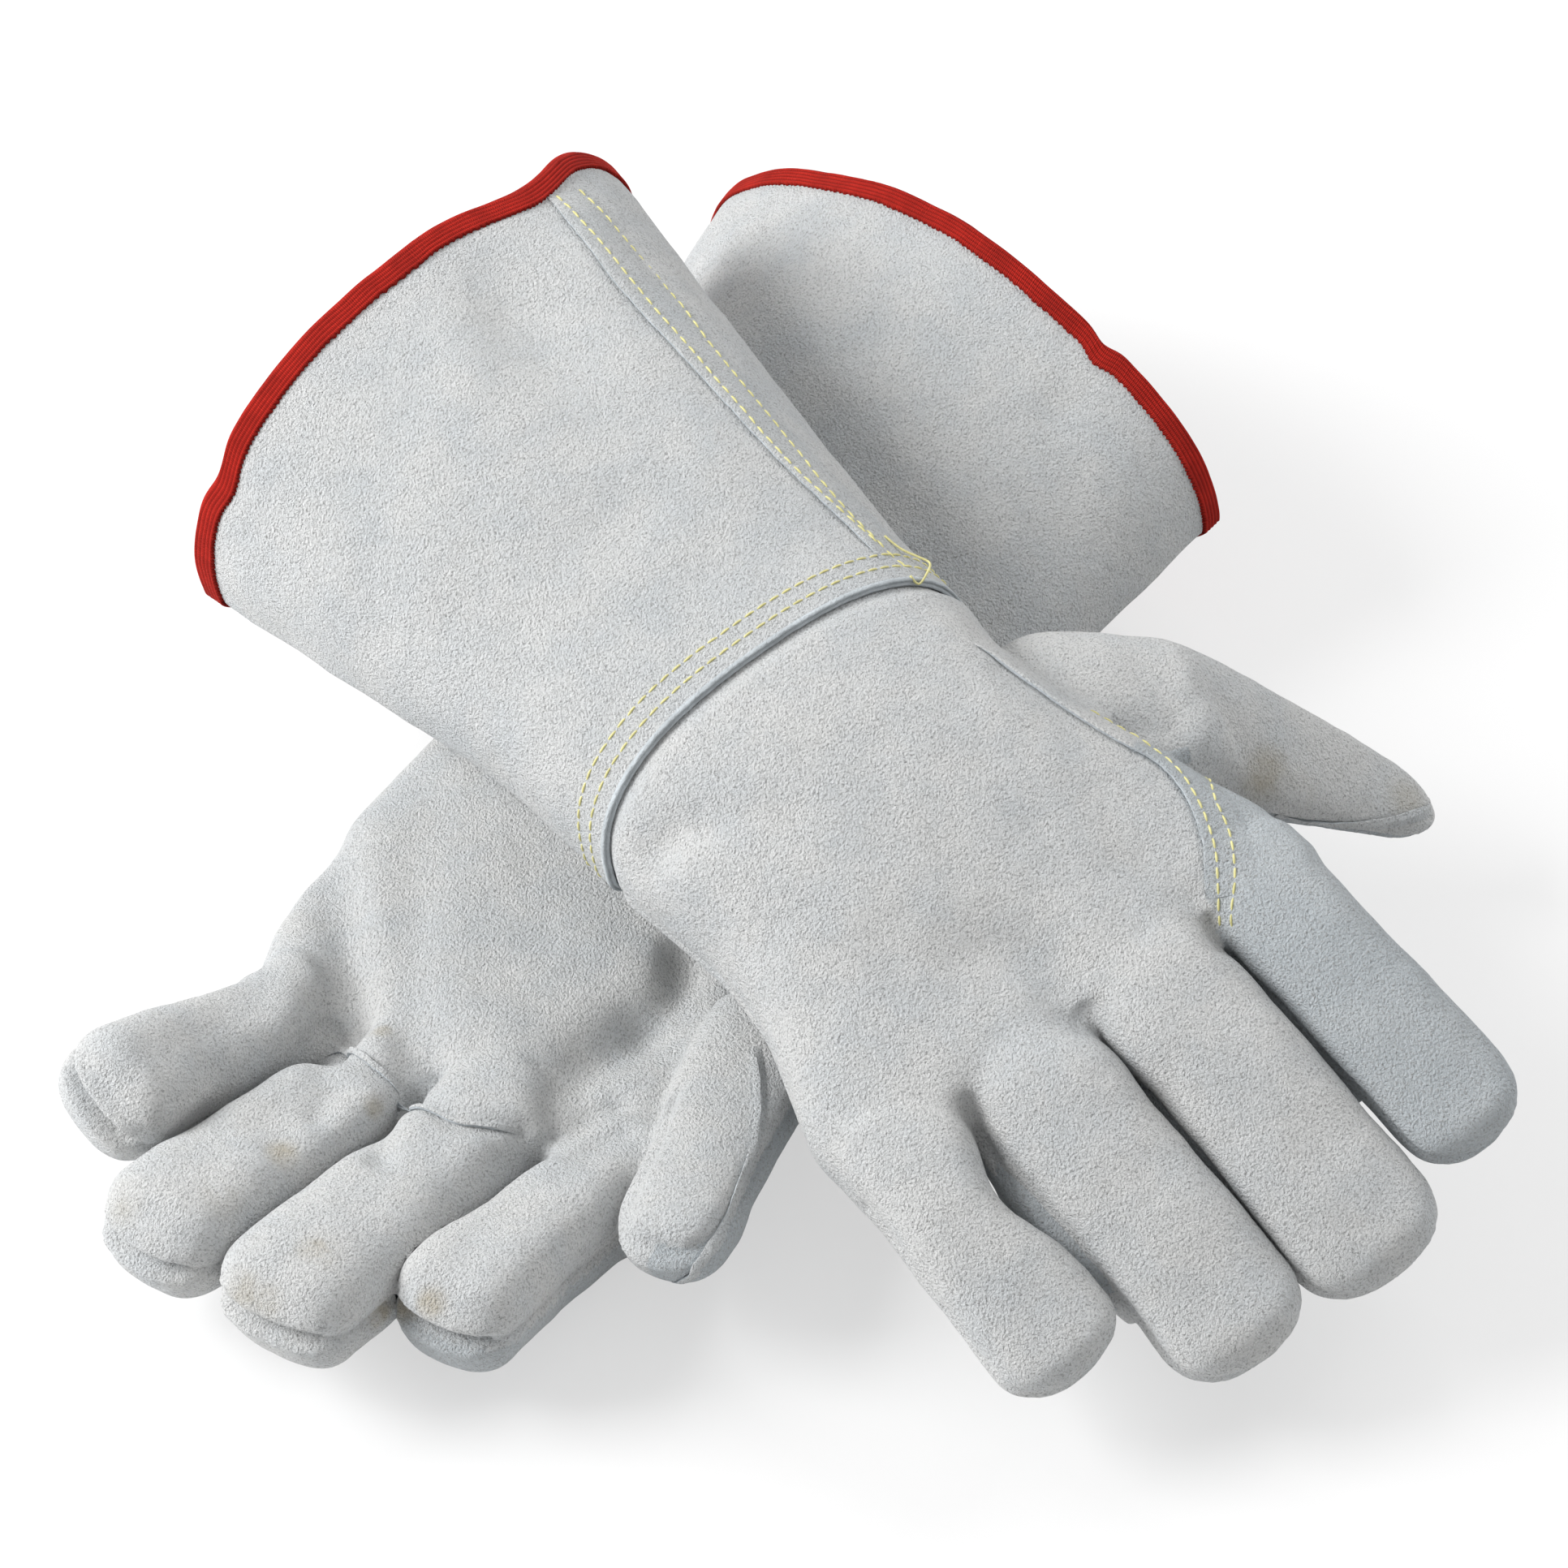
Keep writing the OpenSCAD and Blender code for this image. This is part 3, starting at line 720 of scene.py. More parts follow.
# Where the skin is parted: the fingers' station, the thumb's share of the hand's section and its reach
CUT_U = HAND_L - 20.0
THUMB_CUT = 1.14
THUMB_REACH = 34.0
LEAST_HALF = 10.0


def labels_of(glove, pattern, places):
    """0 for the hand and 1 to 5 for the digits, cut behind each hinge so that the skins join there."""
    labels = np.zeros(len(pattern), int)
    far = np.stack([p["far"] / np.maximum(p["half"], LEAST_HALF) for p in places], axis=1)
    nearest = far[:, :4].argmin(axis=1)
    ahead = pattern[:, 0] > CUT_U
    labels[ahead] = nearest[ahead] + 1
    s = glove.section(pattern[:, 0])
    tall = np.where(pattern[:, 2] > glove.middle(pattern[:, 0]), s[:, 1], s[:, 2])
    v = np.abs(pattern[:, 1] - s[:, 3]) / s[:, 0]
    w = np.abs(pattern[:, 2] - glove.middle(pattern[:, 0])) / tall
    power = 2.0 / s[:, 4]
    outside = v ** power + w ** power > THUMB_CUT
    beyond = (pattern - glove.thumb_root()) @ np.array(glove.thumb[1]) > 0.0
    thumb = outside & beyond & (places[4]["far"] < THUMB_REACH) & (far[:, 4] < far[:, :4].min(axis=1))
    labels[thumb & (pattern[:, 1] > s[:, 3])] = 5
    labels[pattern[:, 0] < HAND_START + 1.0] = -1
    return labels


# The turned seams: depth and half width of the groove, of the lips beside it and of the hand's own seam
SIDE_DEEP = 1.6
THUMB_TIP_DEEP = 2.2
GROOVE_HALF = 1.3
LIP_AWAY = 3.6
LIP_HALF = 1.6
HAND_DEEP = 1.5
HAND_HALF = 1.5
HAND_SEAM_END = (66.0, 18.0)
# Where those seams start and end, each as a start and a run: share of the digit's half width, of its
# length at the tip and at the root, and share of the hand's half width
SEAM_EDGE = (0.5, 0.35)
SEAM_TIP = (0.95, 0.04)
SEAM_ROOT = (0.10, 0.12)
HAND_EDGE = (0.75, 0.2)


def seam_grooves(glove, pattern, places, labels):
    """Depth of the turned seams on the sides and tips of the digits, and up the side of the hand."""
    depth = np.zeros(len(pattern))
    deep_tip = glove.look["slit"]
    for k in range(5):
        p = places[k]
        on = labels == k + 1
        edge = eased(np.abs(p["side"]) / np.maximum(p["half"], 1), *SEAM_EDGE)
        tip = eased(p["t"], *SEAM_TIP)
        start = eased(p["t"], *SEAM_ROOT)
        deep = np.maximum(edge * SIDE_DEEP * start, tip * (deep_tip if k < 4 else THUMB_TIP_DEEP))
        middle = 0.0 if k < 4 else glove.look["thumb_seam"]
        groove = np.exp(-((p["up"] - middle) / GROOVE_HALF) ** 2) * deep
        lips = np.exp(-((np.abs(p["up"] - middle) - LIP_AWAY) / LIP_HALF) ** 2) * tip * glove.look["lip"]
        depth[on] = (groove - lips)[on]
    s = glove.section(pattern[:, 0])
    side = eased((s[:, 3] - pattern[:, 1]) / s[:, 0], *HAND_EDGE)
    w = pattern[:, 2] - glove.middle(pattern[:, 0])
    side = side * (1 - eased(pattern[:, 0], *HAND_SEAM_END))
    depth += np.where(labels == 0, np.exp(-(w / HAND_HALF) ** 2) * side * HAND_DEEP, 0.0)
    return depth


# The hand swells out where it leaves the cuff: height, and the start and run of its rise and of its fall
PUFF = 2.0
PUFF_IN = (0.5, 6.0)
PUFF_OUT = (14.0, 50.0)


def puffed(glove, pattern):
    """1 just beyond the cuff's edge, fading under the cuff and towards the knuckles."""
    s = glove.section(pattern[:, 0])
    w = pattern[:, 2] - glove.middle(pattern[:, 0])
    tall = np.where(w > 0, s[:, 1], s[:, 2])
    q = np.degrees(np.arctan2(w / tall, (pattern[:, 1] - s[:, 3]) / s[:, 0]))
    past = pattern[:, 0] - glove.wrist_u(q)
    return eased(past, *PUFF_IN) * (1 - eased(past, *PUFF_OUT))


def shell(name, points, normals, faces, material, thickness):
    """A leather piece with an outer skin, an inner skin and a rim, which keeps the skin's normals."""
    used = np.unique(np.concatenate([np.asarray(f) for f in faces]))
    index = {int(v): i for i, v in enumerate(used)}
    outer = points[used]
    n = len(used)
    turn = [tuple(index[v] for v in f) for f in faces]
    edges = {}
    for f in turn:
        for a, b in zip(f, f[1:] + f[:1]):
            edges[(a, b)] = True
    rim = [(a, a + n, b + n, b) for (a, b) in edges if (b, a) not in edges]
    inner = [tuple(v + n for v in reversed(f)) for f in turn]
    body = np.vstack([outer, outer - normals[used] * thickness])
    obj = piece(name, body, turn + inner + rim, material)
    both = np.vstack([normals[used], -normals[used]])
    obj.data.normals_split_custom_set_from_vertices(both.tolist())
    return obj, used


def mark(obj, name, values):
    attribute = obj.data.attributes.new(name, "FLOAT", "POINT")
    attribute.data.foreach_set("value", np.asarray(values, np.float32))


def mark_all(obj, name, value):
    mark(obj, name, np.full(len(obj.data.vertices), value))


def seam_side(points, path):
    """1 on the index side of the right hand's seam and 0 on the other, station by station."""
    glove = RIGHT_GLOVE
    p, s = glove.to_pattern(points), glove.to_pattern(path)
    order = np.argsort(s[:, 0])
    edge = np.interp(p[:, 0], s[order, 0], s[order, 1])
    return smooth((p[:, 1] - edge) / SEAM_BLUR + 0.5)


# Soft unevenness of the hand's skin and of the cuff: height, size and seed
SKIN_WAVES = ((0.9, 34.0, 1), (0.45, 13.0, 2), (0.16, 5.0, 3))
CUFF_WAVES = ((1.6, 46.0, 4), (0.6, 17.0, 5), (0.2, 6.0, 6))
LUMPS = (21.0, 7)
# Stations, each as a start and a run, at which unevenness, lumps and filling come in, and the distance
# from the thumb at which the swell beyond the cuff does
UNEVEN_FROM = (2.0, 14.0)
LUMPS_FROM = (95.0, 25.0)
FILL_FROM = (100.0, 16.0)
PUFF_FROM = (22.0, 16.0)
# Smoothing of the fused blank, and of the creased skin
BLANK_SMOOTH = {"factor": 0.5, "iterations": 9}
SKIN_SMOOTH = {"factor": 0.35, "iterations": 1}
# Share of a hand fold's depth at its first end, and share that a cuff fold loses at its ends
FOLD_FIRST = 0.25
FOLD_LOSS = 0.8
# Step of the paths that folds follow, and the least height of the left glove's leather and tape
FOLD_STEP = 3.0
SKIN_FLOOR = 0.25
EDGE_FLOOR = 0.1
TAPE_FLOOR = 0.05
# A stain's edge as a share of its reach, past which it is gone
STAIN_EDGE = 1.2
# The cooler hide: blur at the side seam and at the cross seam, how far it goes past the seam's end and
# down the hand, and its share and lowest height on the left index finger
SEAM_BLUR = 1.2
CROSS_BLUR = 1.5
COOL_PAST = 6.0
COOL_DOWN = -4.0
LEFT_COOL = 0.8
LEFT_COOL_UP = 2.0


def kept_above(glove, points, least):
    """Holds the left glove's points above the table."""
    if glove.side == "left":
        points[:, 2] = np.maximum(points[:, 2], least)


def sew_hand(glove):
    """The hand and its digits: overlapping blanks fused to one skin, creased, then parted at hinges."""
    points, faces = hand_blank(glove)
    blank = piece(glove.side + "_blank", points, faces, None)
    apply_modifier(blank, "REMESH", mode="VOXEL", voxel_size=sizes().grain, adaptivity=0.0)
    apply_modifier(blank, "SMOOTH", **BLANK_SMOOTH)
    co = points_of(blank)
    pattern = glove.to_pattern(co)
    places = digit_places(glove, pattern)
    labels = labels_of(glove, pattern, places)
    tree = tree_of(blank)
    puff = PUFF * puffed(glove, pattern) * eased(places[4]["far"], *PUFF_FROM)
    lift = swells(co, SKIN_WAVES) * eased(pattern[:, 0], *UNEVEN_FROM)
    lift += puff - seam_grooves(glove, pattern, places, labels)
    for pixels, depth, half in FOLDS[glove.side]:
        path = even_path(seen_path(tree, pixels), FOLD_STEP)
        run = np.linalg.norm(co - path[0], axis=1) / np.linalg.norm(path[-1] - path[0])
        grown = FOLD_FIRST + (1 - FOLD_FIRST) * smooth(run)
        lift -= depth * grown * np.exp(-(from_path(co, path) / half) ** 2)
    lift += glove.look["lumps"] * waves(co, *LUMPS) * eased(pattern[:, 0], *LUMPS_FROM)
    lift += glove.look["fill"] * eased(pattern[:, 0], *FILL_FROM)
    co = co + normals_of(blank) * lift[:, None]
    kept_above(glove, co, SKIN_FLOOR)
    move_points(blank, co)
    apply_modifier(blank, "SMOOTH", **SKIN_SMOOTH)
    co = points_of(blank)
    normals = normals_of(blank)
    tree = tree_of(blank)
    made[glove.side + "_hand"] = tree
    stain = np.zeros(len(co))
    for pixel, reach, strength in STAINS[glove.side]:
        far = np.linalg.norm(co - seen(tree, pixel)[0], axis=1)
        stain = np.maximum(stain, strength * smooth(STAIN_EDGE - far / reach))
    if glove.side == "right":
        path = even_path(seen_path(tree, SIDE_SEAM), FOLD_STEP)
        made["side_seam"] = path
        crotch = glove.to_pattern(path)[0, 0] + COOL_PAST
        cross = glove.to_pattern(seen(tree, CROSS_SEAM)[0])[0]
        cool = seam_side(co, path) * smooth((pattern[:, 0] - cross) / CROSS_BLUR + 0.5)
        cool = cool * (pattern[:, 2] > COOL_DOWN)
        cool = np.where(pattern[:, 0] > crotch, labels == 1, cool)
        cool = np.where(labels == 5, places[4]["up"] < glove.look["thumb_seam"], cool)
    else:
        cool = LEFT_COOL * ((labels == 1) & (places[0]["up"] > LEFT_COOL_UP))
        back = (places[4]["up"] > glove.look["thumb_seam"]) & (places[4]["side"] > 0)
        cool = np.where(labels == 5, back, cool)
    groups = {k: [] for k in range(6)}
    for f in blank.data.polygons:
        ids = tuple(f.vertices)
        kind = labels[list(ids)].min()
        if kind >= 0:
            groups[kind].append(ids)
    bpy.data.objects.remove(blank)
    finish_hand(glove, co, normals, groups, cool, stain)


def finish_hand(glove, co, normals, groups, cool, stain):
    """Makes the pieces of one hand, puts the hand's piece on its body and bakes the digits' pieces in
    place.
    """
    suede = made["suede"]
    side = glove.side
    for k in range(6):
        body = side + "_hand" if k == 0 else side + "_" + DIGITS[k - 1]
        obj, used = shell(body + "_skin", co, normals, groups[k], suede, sizes().leather / MM)
        mark(obj, "cool", np.tile(cool[used], 2))
        mark(obj, "stain", np.tile(stain[used], 2))
        hang(obj, glove, k)
        if k == 0:
            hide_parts(side + "_palm_panel", side + "_back_panel", side + "_side_panel")
        else:
            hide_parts(body + "_front", body + "_back")
    if side == "right":
        for k, out in enumerate(FORK_OUT):
            fourchette(glove, k, out)


CUFF_ROWS = 100
CUFF_COLUMNS = 320
CUFF_COOL = 0.12
# The cuff's end lifts off the hand: height, and start and run as shares of its length
CUFF_LIFT = 0.2
LIFT_FROM = (0.90, 0.10)
# The cuff's unevenness ends before the wrist: last share of its length, and run
UNEVEN_TO = (0.97, 0.10)
# Edges that turn by more than this stay sharp
CUFF_ANGLE = math.radians(40)
LAP_ANGLE = math.radians(42)
# Folds of each cuff: pixels, depth and half width in mm
CUFF_FOLDS = {
    "right": (
        (((560, 250), (650, 372), (740, 490)), 4.6, 17.0),
        (((690, 250), (730, 330), (790, 420)), -1.2, 9.0),
        (((520, 330), (560, 420), (600, 520)), -1.6, 12.0),
        (((690, 700), (760, 640), (850, 600)), 1.2, 16.0),
        (((380, 700), (470, 780), (560, 880)), 1.4, 14.0),
    ),
    "left": (
        (((1000, 330), (1060, 400), (1100, 500)), 1.4, 14.0),
        (((1345, 450), (1310, 500), (1280, 560)), 1.5, 9.0),
    ),
}


# Section of the wrist's raw edge: two cut layers, as reach past the edge and share of the thickness
EDGE_SECTION = ((-0.8, 1.03), (0.1, 1.03), (0.4, 0.88), (0.35, 0.68), (-0.15, 0.54), (0.4, 0.42),
                (0.75, 0.18), (0.6, -0.1), (-0.8, -0.1))
# Roughness of cut edges: height, size and seed
EDGE_ROUGH = ((0.18, 2.2, 8),)
LAP_ROUGH = ((0.25, 3.0, 9),)


def raw_edge(glove, outer, under, ahead):
    """The doubled raw edge where the cuff ends on the hand."""
    n = len(outer)
    rough = swells(outer, EDGE_ROUGH)[:, None]
    rows = [under + (outer - under) * share + ahead * (reach + (rough if reach > 0 else 0.0))
            for reach, share in EDGE_SECTION]
    points = np.vstack(rows)
    kept_above(glove, points, EDGE_FLOOR)
    faces = ring_faces(len(rows), n, glove.side == "right")
    # Its material darkens the cut hide with painted shade
    obj = piece(glove.side + "_wrist_edge", points, faces, made["raw"])
    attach(obj, glove.side + "_hand")


def cut_cuff(glove):
    """The flared cuff, lapped over the hand and left raw at the wrist."""
    q = np.linspace(0, 360, CUFF_COLUMNS, endpoint=False)[None, :]
    s = np.linspace(0, 1, CUFF_ROWS)[:, None]
    u = glove.mouth_u(q) + (glove.wrist_u(q) - glove.mouth_u(q)) * s
    lift = CUFF_LIFT * eased(s, *LIFT_FROM) + 0 * q
    outer = glove.skin(u, q + 0 * s, CUFF_OUT + lift).reshape(-1, 3)
    inner = glove.skin(u, q + 0 * s, CUFF_IN + lift).reshape(-1, 3)
    n = CUFF_COLUMNS
    faces = band_faces(CUFF_ROWS, n)
    if glove.side == "left":
        faces = flipped(faces)
    first = piece(glove.side + "_cuff_blank", outer, faces, None)
    tree = tree_of(first)
    normals = unit(outer - inner)
    last, run_out = UNEVEN_TO
    away = smooth((last - s) / run_out) + 0 * q
    fold = swells(outer, CUFF_WAVES) * away.ravel()
    for pixels, depth, half in CUFF_FOLDS[glove.side]:
        path = even_path(seen_path(tree, pixels), FOLD_STEP)
        middle = path[len(path) // 2]
        run = np.linalg.norm(outer - middle, axis=1) / np.linalg.norm(path[-1] - middle)
        fold -= depth * (1 - FOLD_LOSS * smooth(run)) * np.exp(-(from_path(outer, path) / half) ** 2)
    outer = outer + normals * fold[:, None]
    kept_above(glove, outer, SKIN_FLOOR)
    move_points(first, outer)
    skin_normals = normals_of(first)
    bpy.data.objects.remove(first)
    thick = sizes().leather / MM
    obj, _ = shell(glove.side + "_cuff", outer, skin_normals, faces, made["suede"], thick)
    select_only(obj)
    bpy.ops.object.shade_smooth_by_angle(angle=CUFF_ANGLE)
    mark_all(obj, "cool", CUFF_COOL)
    mark_all(obj, "stain", 0.0)
    made[glove.side + "_cuff"] = tree_of(obj)
    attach(obj, glove.side + "_hand")
    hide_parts(glove.side + "_cuff_back_panel", glove.side + "_cuff_palm_panel")
    under = outer - skin_normals * sizes().leather / MM
    ahead = unit(outer[-n:] - outer[-2 * n:-n])
    raw_edge(glove, outer[-n:], under[-n:], ahead)


# The tape, in millimetres: its thickness and the share of it at its edges, how far it rolls over the
# mouth, its ribs' height, and how far its inner layer starts from the mouth
TAPE_THICK = 0.75
TAPE_EDGE = 0.55
TAPE_ROLL = 1.6
RIB = 0.32
TAPE_INSET = 0.3
# Points round the mouth and over the roll, and the wavy edge: height, and points from turn to turn
TAPE_STATIONS = 900
ROLL_STEPS = 7
PICOT = 0.22
PICOT_RUN = 1.5
# How far from the leather the tape looks for its face, past the depth of the cuff's folds
TAPE_REACH = 3.0


def bind_cuff(glove):
    """Ribbed tape folded over the mouth of the cuff, with a fine wavy edge."""
    wide = sizes().tape / MM
    q = np.linspace(0, 360, TAPE_STATIONS, endpoint=False)
    tree = made[glove.side + "_cuff"]
    rows = []
    across = np.linspace(0, 1, 4 * sizes().ribs + 1)
    edge = glove.mouth_u(q)
    wave = PICOT * np.sign(np.sin(np.arange(TAPE_STATIONS) * np.pi / PICOT_RUN))

    def ridge(a):
        return abs(math.sin(a * sizes().ribs * math.pi))

    def surface(du, height, inside):
        base = glove.skin(edge + du, q, CUFF_IN - TAPE_REACH if inside else CUFF_OUT + TAPE_REACH)
        out = unit(glove.skin(edge + du, q, CUFF_OUT + 1.0) - glove.skin(edge + du, q, CUFF_IN))
        found = []
        for p, n in zip(base, out):
            place, _, _, _ = tree.find_nearest(Vector(p))
            found.append(np.array(place) + n * height)
        return np.array(found)

    for a in across[::-1]:
        thick = TAPE_THICK * (TAPE_EDGE if a in (0.0, 1.0) else 1.0) + RIB * ridge(a)
        rows.append(surface(wide * a + (wave if a == 1.0 else 0.0), thick, False))
    top, bottom = rows[-1], surface(0.0 * edge, -TAPE_THICK, True)
    along = unit(glove.skin(edge, q, 1.0) - glove.skin(edge + 2.0, q, 1.0))
    for a in np.linspace(0, np.pi, ROLL_STEPS)[1:-1]:
        middle, half = (top + bottom) / 2, (top - bottom) / 2
        rows.append(middle + half * math.cos(a) + along * math.sin(a) * TAPE_ROLL)
    for a in across[::2]:
        rows.append(surface(wide * a, -TAPE_THICK - RIB * ridge(a), True))
    rows.append(surface(wide + 0 * edge, 0.0, True))
    rows.append(surface(TAPE_INSET + 0 * edge, 0.0, True))
    rows.append(surface(TAPE_INSET + 0 * edge, 0.0, False))
    rows.append(surface(wide + wave, 0.0, False))
    m, n = len(rows), TAPE_STATIONS
    faces = ring_faces(m, n, glove.side == "left")
    points = np.vstack(rows)
    kept_above(glove, points, TAPE_FLOOR)
    obj = piece(glove.side + "_cuff_binding", points, faces, made["tape"])
    step = np.linalg.norm(np.diff(np.vstack([rows[0], rows[0][:1]]), axis=0), axis=1)
    mark(obj, "along", np.tile(np.concatenate([[0], np.cumsum(step)[:-1]]), m))
    # The ribs' crest, which the tape material reads to paint shade into the grooves between the ribs
    crest = np.ones(m)
    crest[:len(across)] = np.abs(np.sin(across[::-1] * sizes().ribs * math.pi))
    mark(obj, "rib", np.repeat(crest, n))
    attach(obj, glove.side + "_hand")
    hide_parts(glove.side + "_cuff_tape")


def on_surface(tree, point):
    place, normal, _, _ = tree.find_nearest(Vector(point))
    return np.array(place), np.array(normal)


# Columns of a lap that show the cut edge, and how its ends thin out: least share and points
RAW_COLUMNS = 3
LAP_LEAST = 0.4
LAP_TAPER = 6.0
# The side panel's lap and a welt: side of the path, width and height
SIDE_LAP = (-1, 14.0, 1.4)
WELT = (1, 2.4, 1.3)


def lap_strip(name, tree, path, side, width, height, hold):
    """A raw edge of leather lying on the skin along a path, fading into the skin on its far side."""
    # Distance from the edge and height over the skin, round the strip
    shape = ((0.9, -0.6), (0.7, height * 0.12), (0.1, height * 0.3), (0.0, height * 0.75),
             (0.4, height), (1.6, height * 0.97), (width * 0.45, height * 0.7),
             (width * 0.8, height * 0.2), (width, -0.5))
    rows = []
    rough = swells(path, LAP_ROUGH)
    for k, p in enumerate(path):
        place, normal = on_surface(tree, p)
        ahead = path[min(k + 1, len(path) - 1)] - path[max(k - 1, 0)]
        left = unit(np.cross(normal, ahead)) * side
        ends = min(1.0, (min(k, len(path) - 1 - k) + LAP_LEAST) / LAP_TAPER)
        row = []
        for s, h in shape:
            q, n = on_surface(tree, place + left * (s + rough[k]))
            row.append(q + n * (h * ends if h > 0 else h))
        rows.append(row)
    m, n = len(rows), len(shape)
    points = np.array(rows).reshape(-1, 3)
    faces = ring_faces(m, n, False)[:(m - 1) * n]
    faces.append(tuple(range(n)))
    faces.append(tuple(reversed(range((m - 1) * n, m * n))))
    if side < 0:
        faces = flipped(faces)
    obj = piece(name, points, faces, made["suede"])
    # The cut edge's faces take the raw edge material, which darkens them with painted shade
    obj.data.materials.append(made["raw"])
    for f in obj.data.polygons:
        if f.index < (m - 1) * n and f.index % n < RAW_COLUMNS:
            f.material_index = 1
    select_only(obj)
    bpy.ops.object.shade_smooth_by_angle(angle=LAP_ANGLE)
    hang(obj, *hold)
    return obj


# A stitch: how blunt it is, how far its ends sink and it stands out as shares of the thread, and how far
# it strays from its row, with the scale of that noise
STITCH_BLUNT = 0.7
STITCH_SINK = 0.75
STITCH_OUT = 0.2
STITCH_STRAY = 0.12
STRAY_SCALE = 0.9
# How far over the leather a lap is searched for, and how far down from there
LAP_OVER = 5.0
LAP_DOWN = 6.0
# Step of a loose thread's rings
THREAD_STEP = 0.6


def stitch_shape():
    """One stitch along +X: a ball drawn long, with its ends turned down into the leather."""
    deselect()
    bpy.ops.mesh.primitive_uv_sphere_add(segments=8, ring_count=6, radius=0.5, location=(0, 0, 0),
                                         rotation=(0, math.pi / 2, 0))
    obj = bpy.context.object
    bpy.ops.object.transform_apply(location=True, rotation=True, scale=True)
    co = np.array([v.co for v in obj.data.vertices])
    faces = [tuple(f.vertices) for f in obj.data.polygons]
    bpy.data.objects.remove(obj)
    long = np.sign(co[:, 0]) * np.abs(co[:, 0] * 2) ** STITCH_BLUNT / 2
    thread, stitch = sizes().thread / MM, sizes().stitch / MM
    shape = np.stack([long * stitch, co[:, 1] * thread, co[:, 2] * thread], axis=-1)
    shape[:, 2] -= (np.abs(long) * 2) ** 3 * thread * STITCH_SINK
    return shape, faces


def top_of(trees, point):
    """Place and normal on the first surface, or on a lap that lies over it there."""
    place, normal = on_surface(trees[0], point)
    for lap in trees[1:]:
        hit, turned_to, _, _ = lap.ray_cast(Vector(place + normal * LAP_OVER), Vector(-normal), LAP_DOWN)
        if hit is not None:
            place, normal = np.array(hit), np.array(turned_to)
    return place, normal


def thread_end(trees, pixels, heights):
    """A loose end of thread: a thin tube through points held above the surface."""
    knots = []
    for pixel, height in zip(pixels, heights):
        place, normal = seen(trees[0], pixel)
        knots.append(top_of(trees, place)[0] + normal * height)
    line = even_path(knots, THREAD_STEP)
    rings = []
    for k, p in enumerate(line):
        ahead = unit(line[min(k + 1, len(line) - 1)] - line[max(k - 1, 0)])
        across = unit(np.cross(ahead, (0.0, 0.0, 1.0)))
        above = np.cross(across, ahead)
        turn = np.radians(np.arange(0, 360, 60))[:, None]
        rings.append(p + (across * np.cos(turn) + above * np.sin(turn)) * sizes().thread / MM * 0.5)
    return loft(rings)


def sew_rows(name, rows, hold, node, loose=()):
    """Stitches along rows of surface points, all of one seam in one piece with its loose ends."""
    shape, shape_faces = stitch_shape()
    parts = []
    for trees, path in rows:
        path = even_path(path, sizes().stitch_step / MM)
        for k in range(len(path) - 1):
            a, na = top_of(trees, path[k])
            b, nb = top_of(trees, path[k + 1])
            stray = noise.noise(Vector(a) * STRAY_SCALE) * STITCH_STRAY
            x = unit(b - a)
            z = unit(unit(na + nb) - x * (unit(na + nb) @ x))
            y = np.cross(z, x)
            x = unit(x + y * stray)
            y = np.cross(z, x)
            middle = top_of(trees, (a + b) / 2)[0] + z * sizes().thread / MM * STITCH_OUT
            stitch = middle + shape[:, :1] * x + shape[:, 1:2] * y + shape[:, 2:] * z
            parts.append((stitch, shape_faces))
    obj = piece(name, *joined(parts + list(loose)), made["thread"])
    hang(obj, *hold)
    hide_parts(node)


# Raw edge of the right cuff's lengthwise lap, from the mouth to the wrist, and its two stitch rows
CUFF_LAP_EDGE = ((672, 240), (745, 334), (783, 380), (863, 466), (944, 554), (1010, 618), (1044, 650),
                 (1085, 690))
CUFF_ROWS_PX = (((684, 240), (763, 331), (843, 426), (904, 497), (974, 577), (1044, 642), (1080, 672)),
                ((712, 232), (803, 331), (883, 436), (964, 537), (1024, 612), (1084, 673), (1118, 700)))
# How far behind the wrist's edge its two stitch rows run, and the points round each
EDGE_ROWS = (5.0, 9.5)
EDGE_POINTS = 73
# Stitch rows of the right side panel
SIDE_ROWS_PX = (((1503, 1144), (1501, 1092), (1494, 1041), (1475, 991), (1448, 950), (1400, 912),
                 (1340, 876)),
                ((1518, 1144), (1522, 1082), (1515, 1031), (1494, 982), (1470, 946)))
# The loose end of the right cuff's thread, and its height over the leather
THREAD_END = ((1088, 664), (1108, 680), (1126, 692), (1139, 702), (1138, 713), (1129, 716), (1121, 711))
THREAD_RISE = (0.2, 0.8, 1.6, 2.2, 2.0, 1.2, 0.4)
# Stitch rows of the left glove, which the photograph hides: stations, number of points, angles, height
LEFT_CUFF_ROWS = (-146, -24, 30, (38.5, 42.0), CUFF_OUT)
LEFT_SIDE_ROWS = (4, 82, 24, (50.0, 54.0), 0.0)
# The left cuff's lap, and the welts at the roots of the left fingers
LEFT_LAP_EDGE = ((914, 262), (907, 285), (898, 318), (892, 345))
RING_WELT = ((400, 1304), (420, 1299), (447, 1308), (474, 1330), (492, 1352))
MIDDLE_WELT = ((494, 1355), (512, 1368), (560, 1386), (600, 1392), (640, 1398))
# The welts of the right fingers, which the photograph hides: first and last angle on the hand
RIGHT_RING_WELT = (240, 269)
RIGHT_MIDDLE_WELT = (271, 300)
WELT_POINTS = 9
# Lips of the thumbs' seams
RIGHT_THUMB_SEAM = ((1762, 990), (1720, 1004), (1660, 1012), (1610, 1010), (1580, 1004))
LEFT_THUMB_SEAM = ((922, 1290), (928, 1350), (920, 1420), (892, 1495), (855, 1555), (826, 1586))


def new_material(name, colour, roughness):
    material = bpy.data.materials.new(name)
    material.use_nodes = True
    shader = material.node_tree.nodes["Principled BSDF"]
    shader.inputs["Base Color"].default_value = (*colour, 1.0)
    shader.inputs["Roughness"].default_value = roughness
    return material, material.node_tree, shader


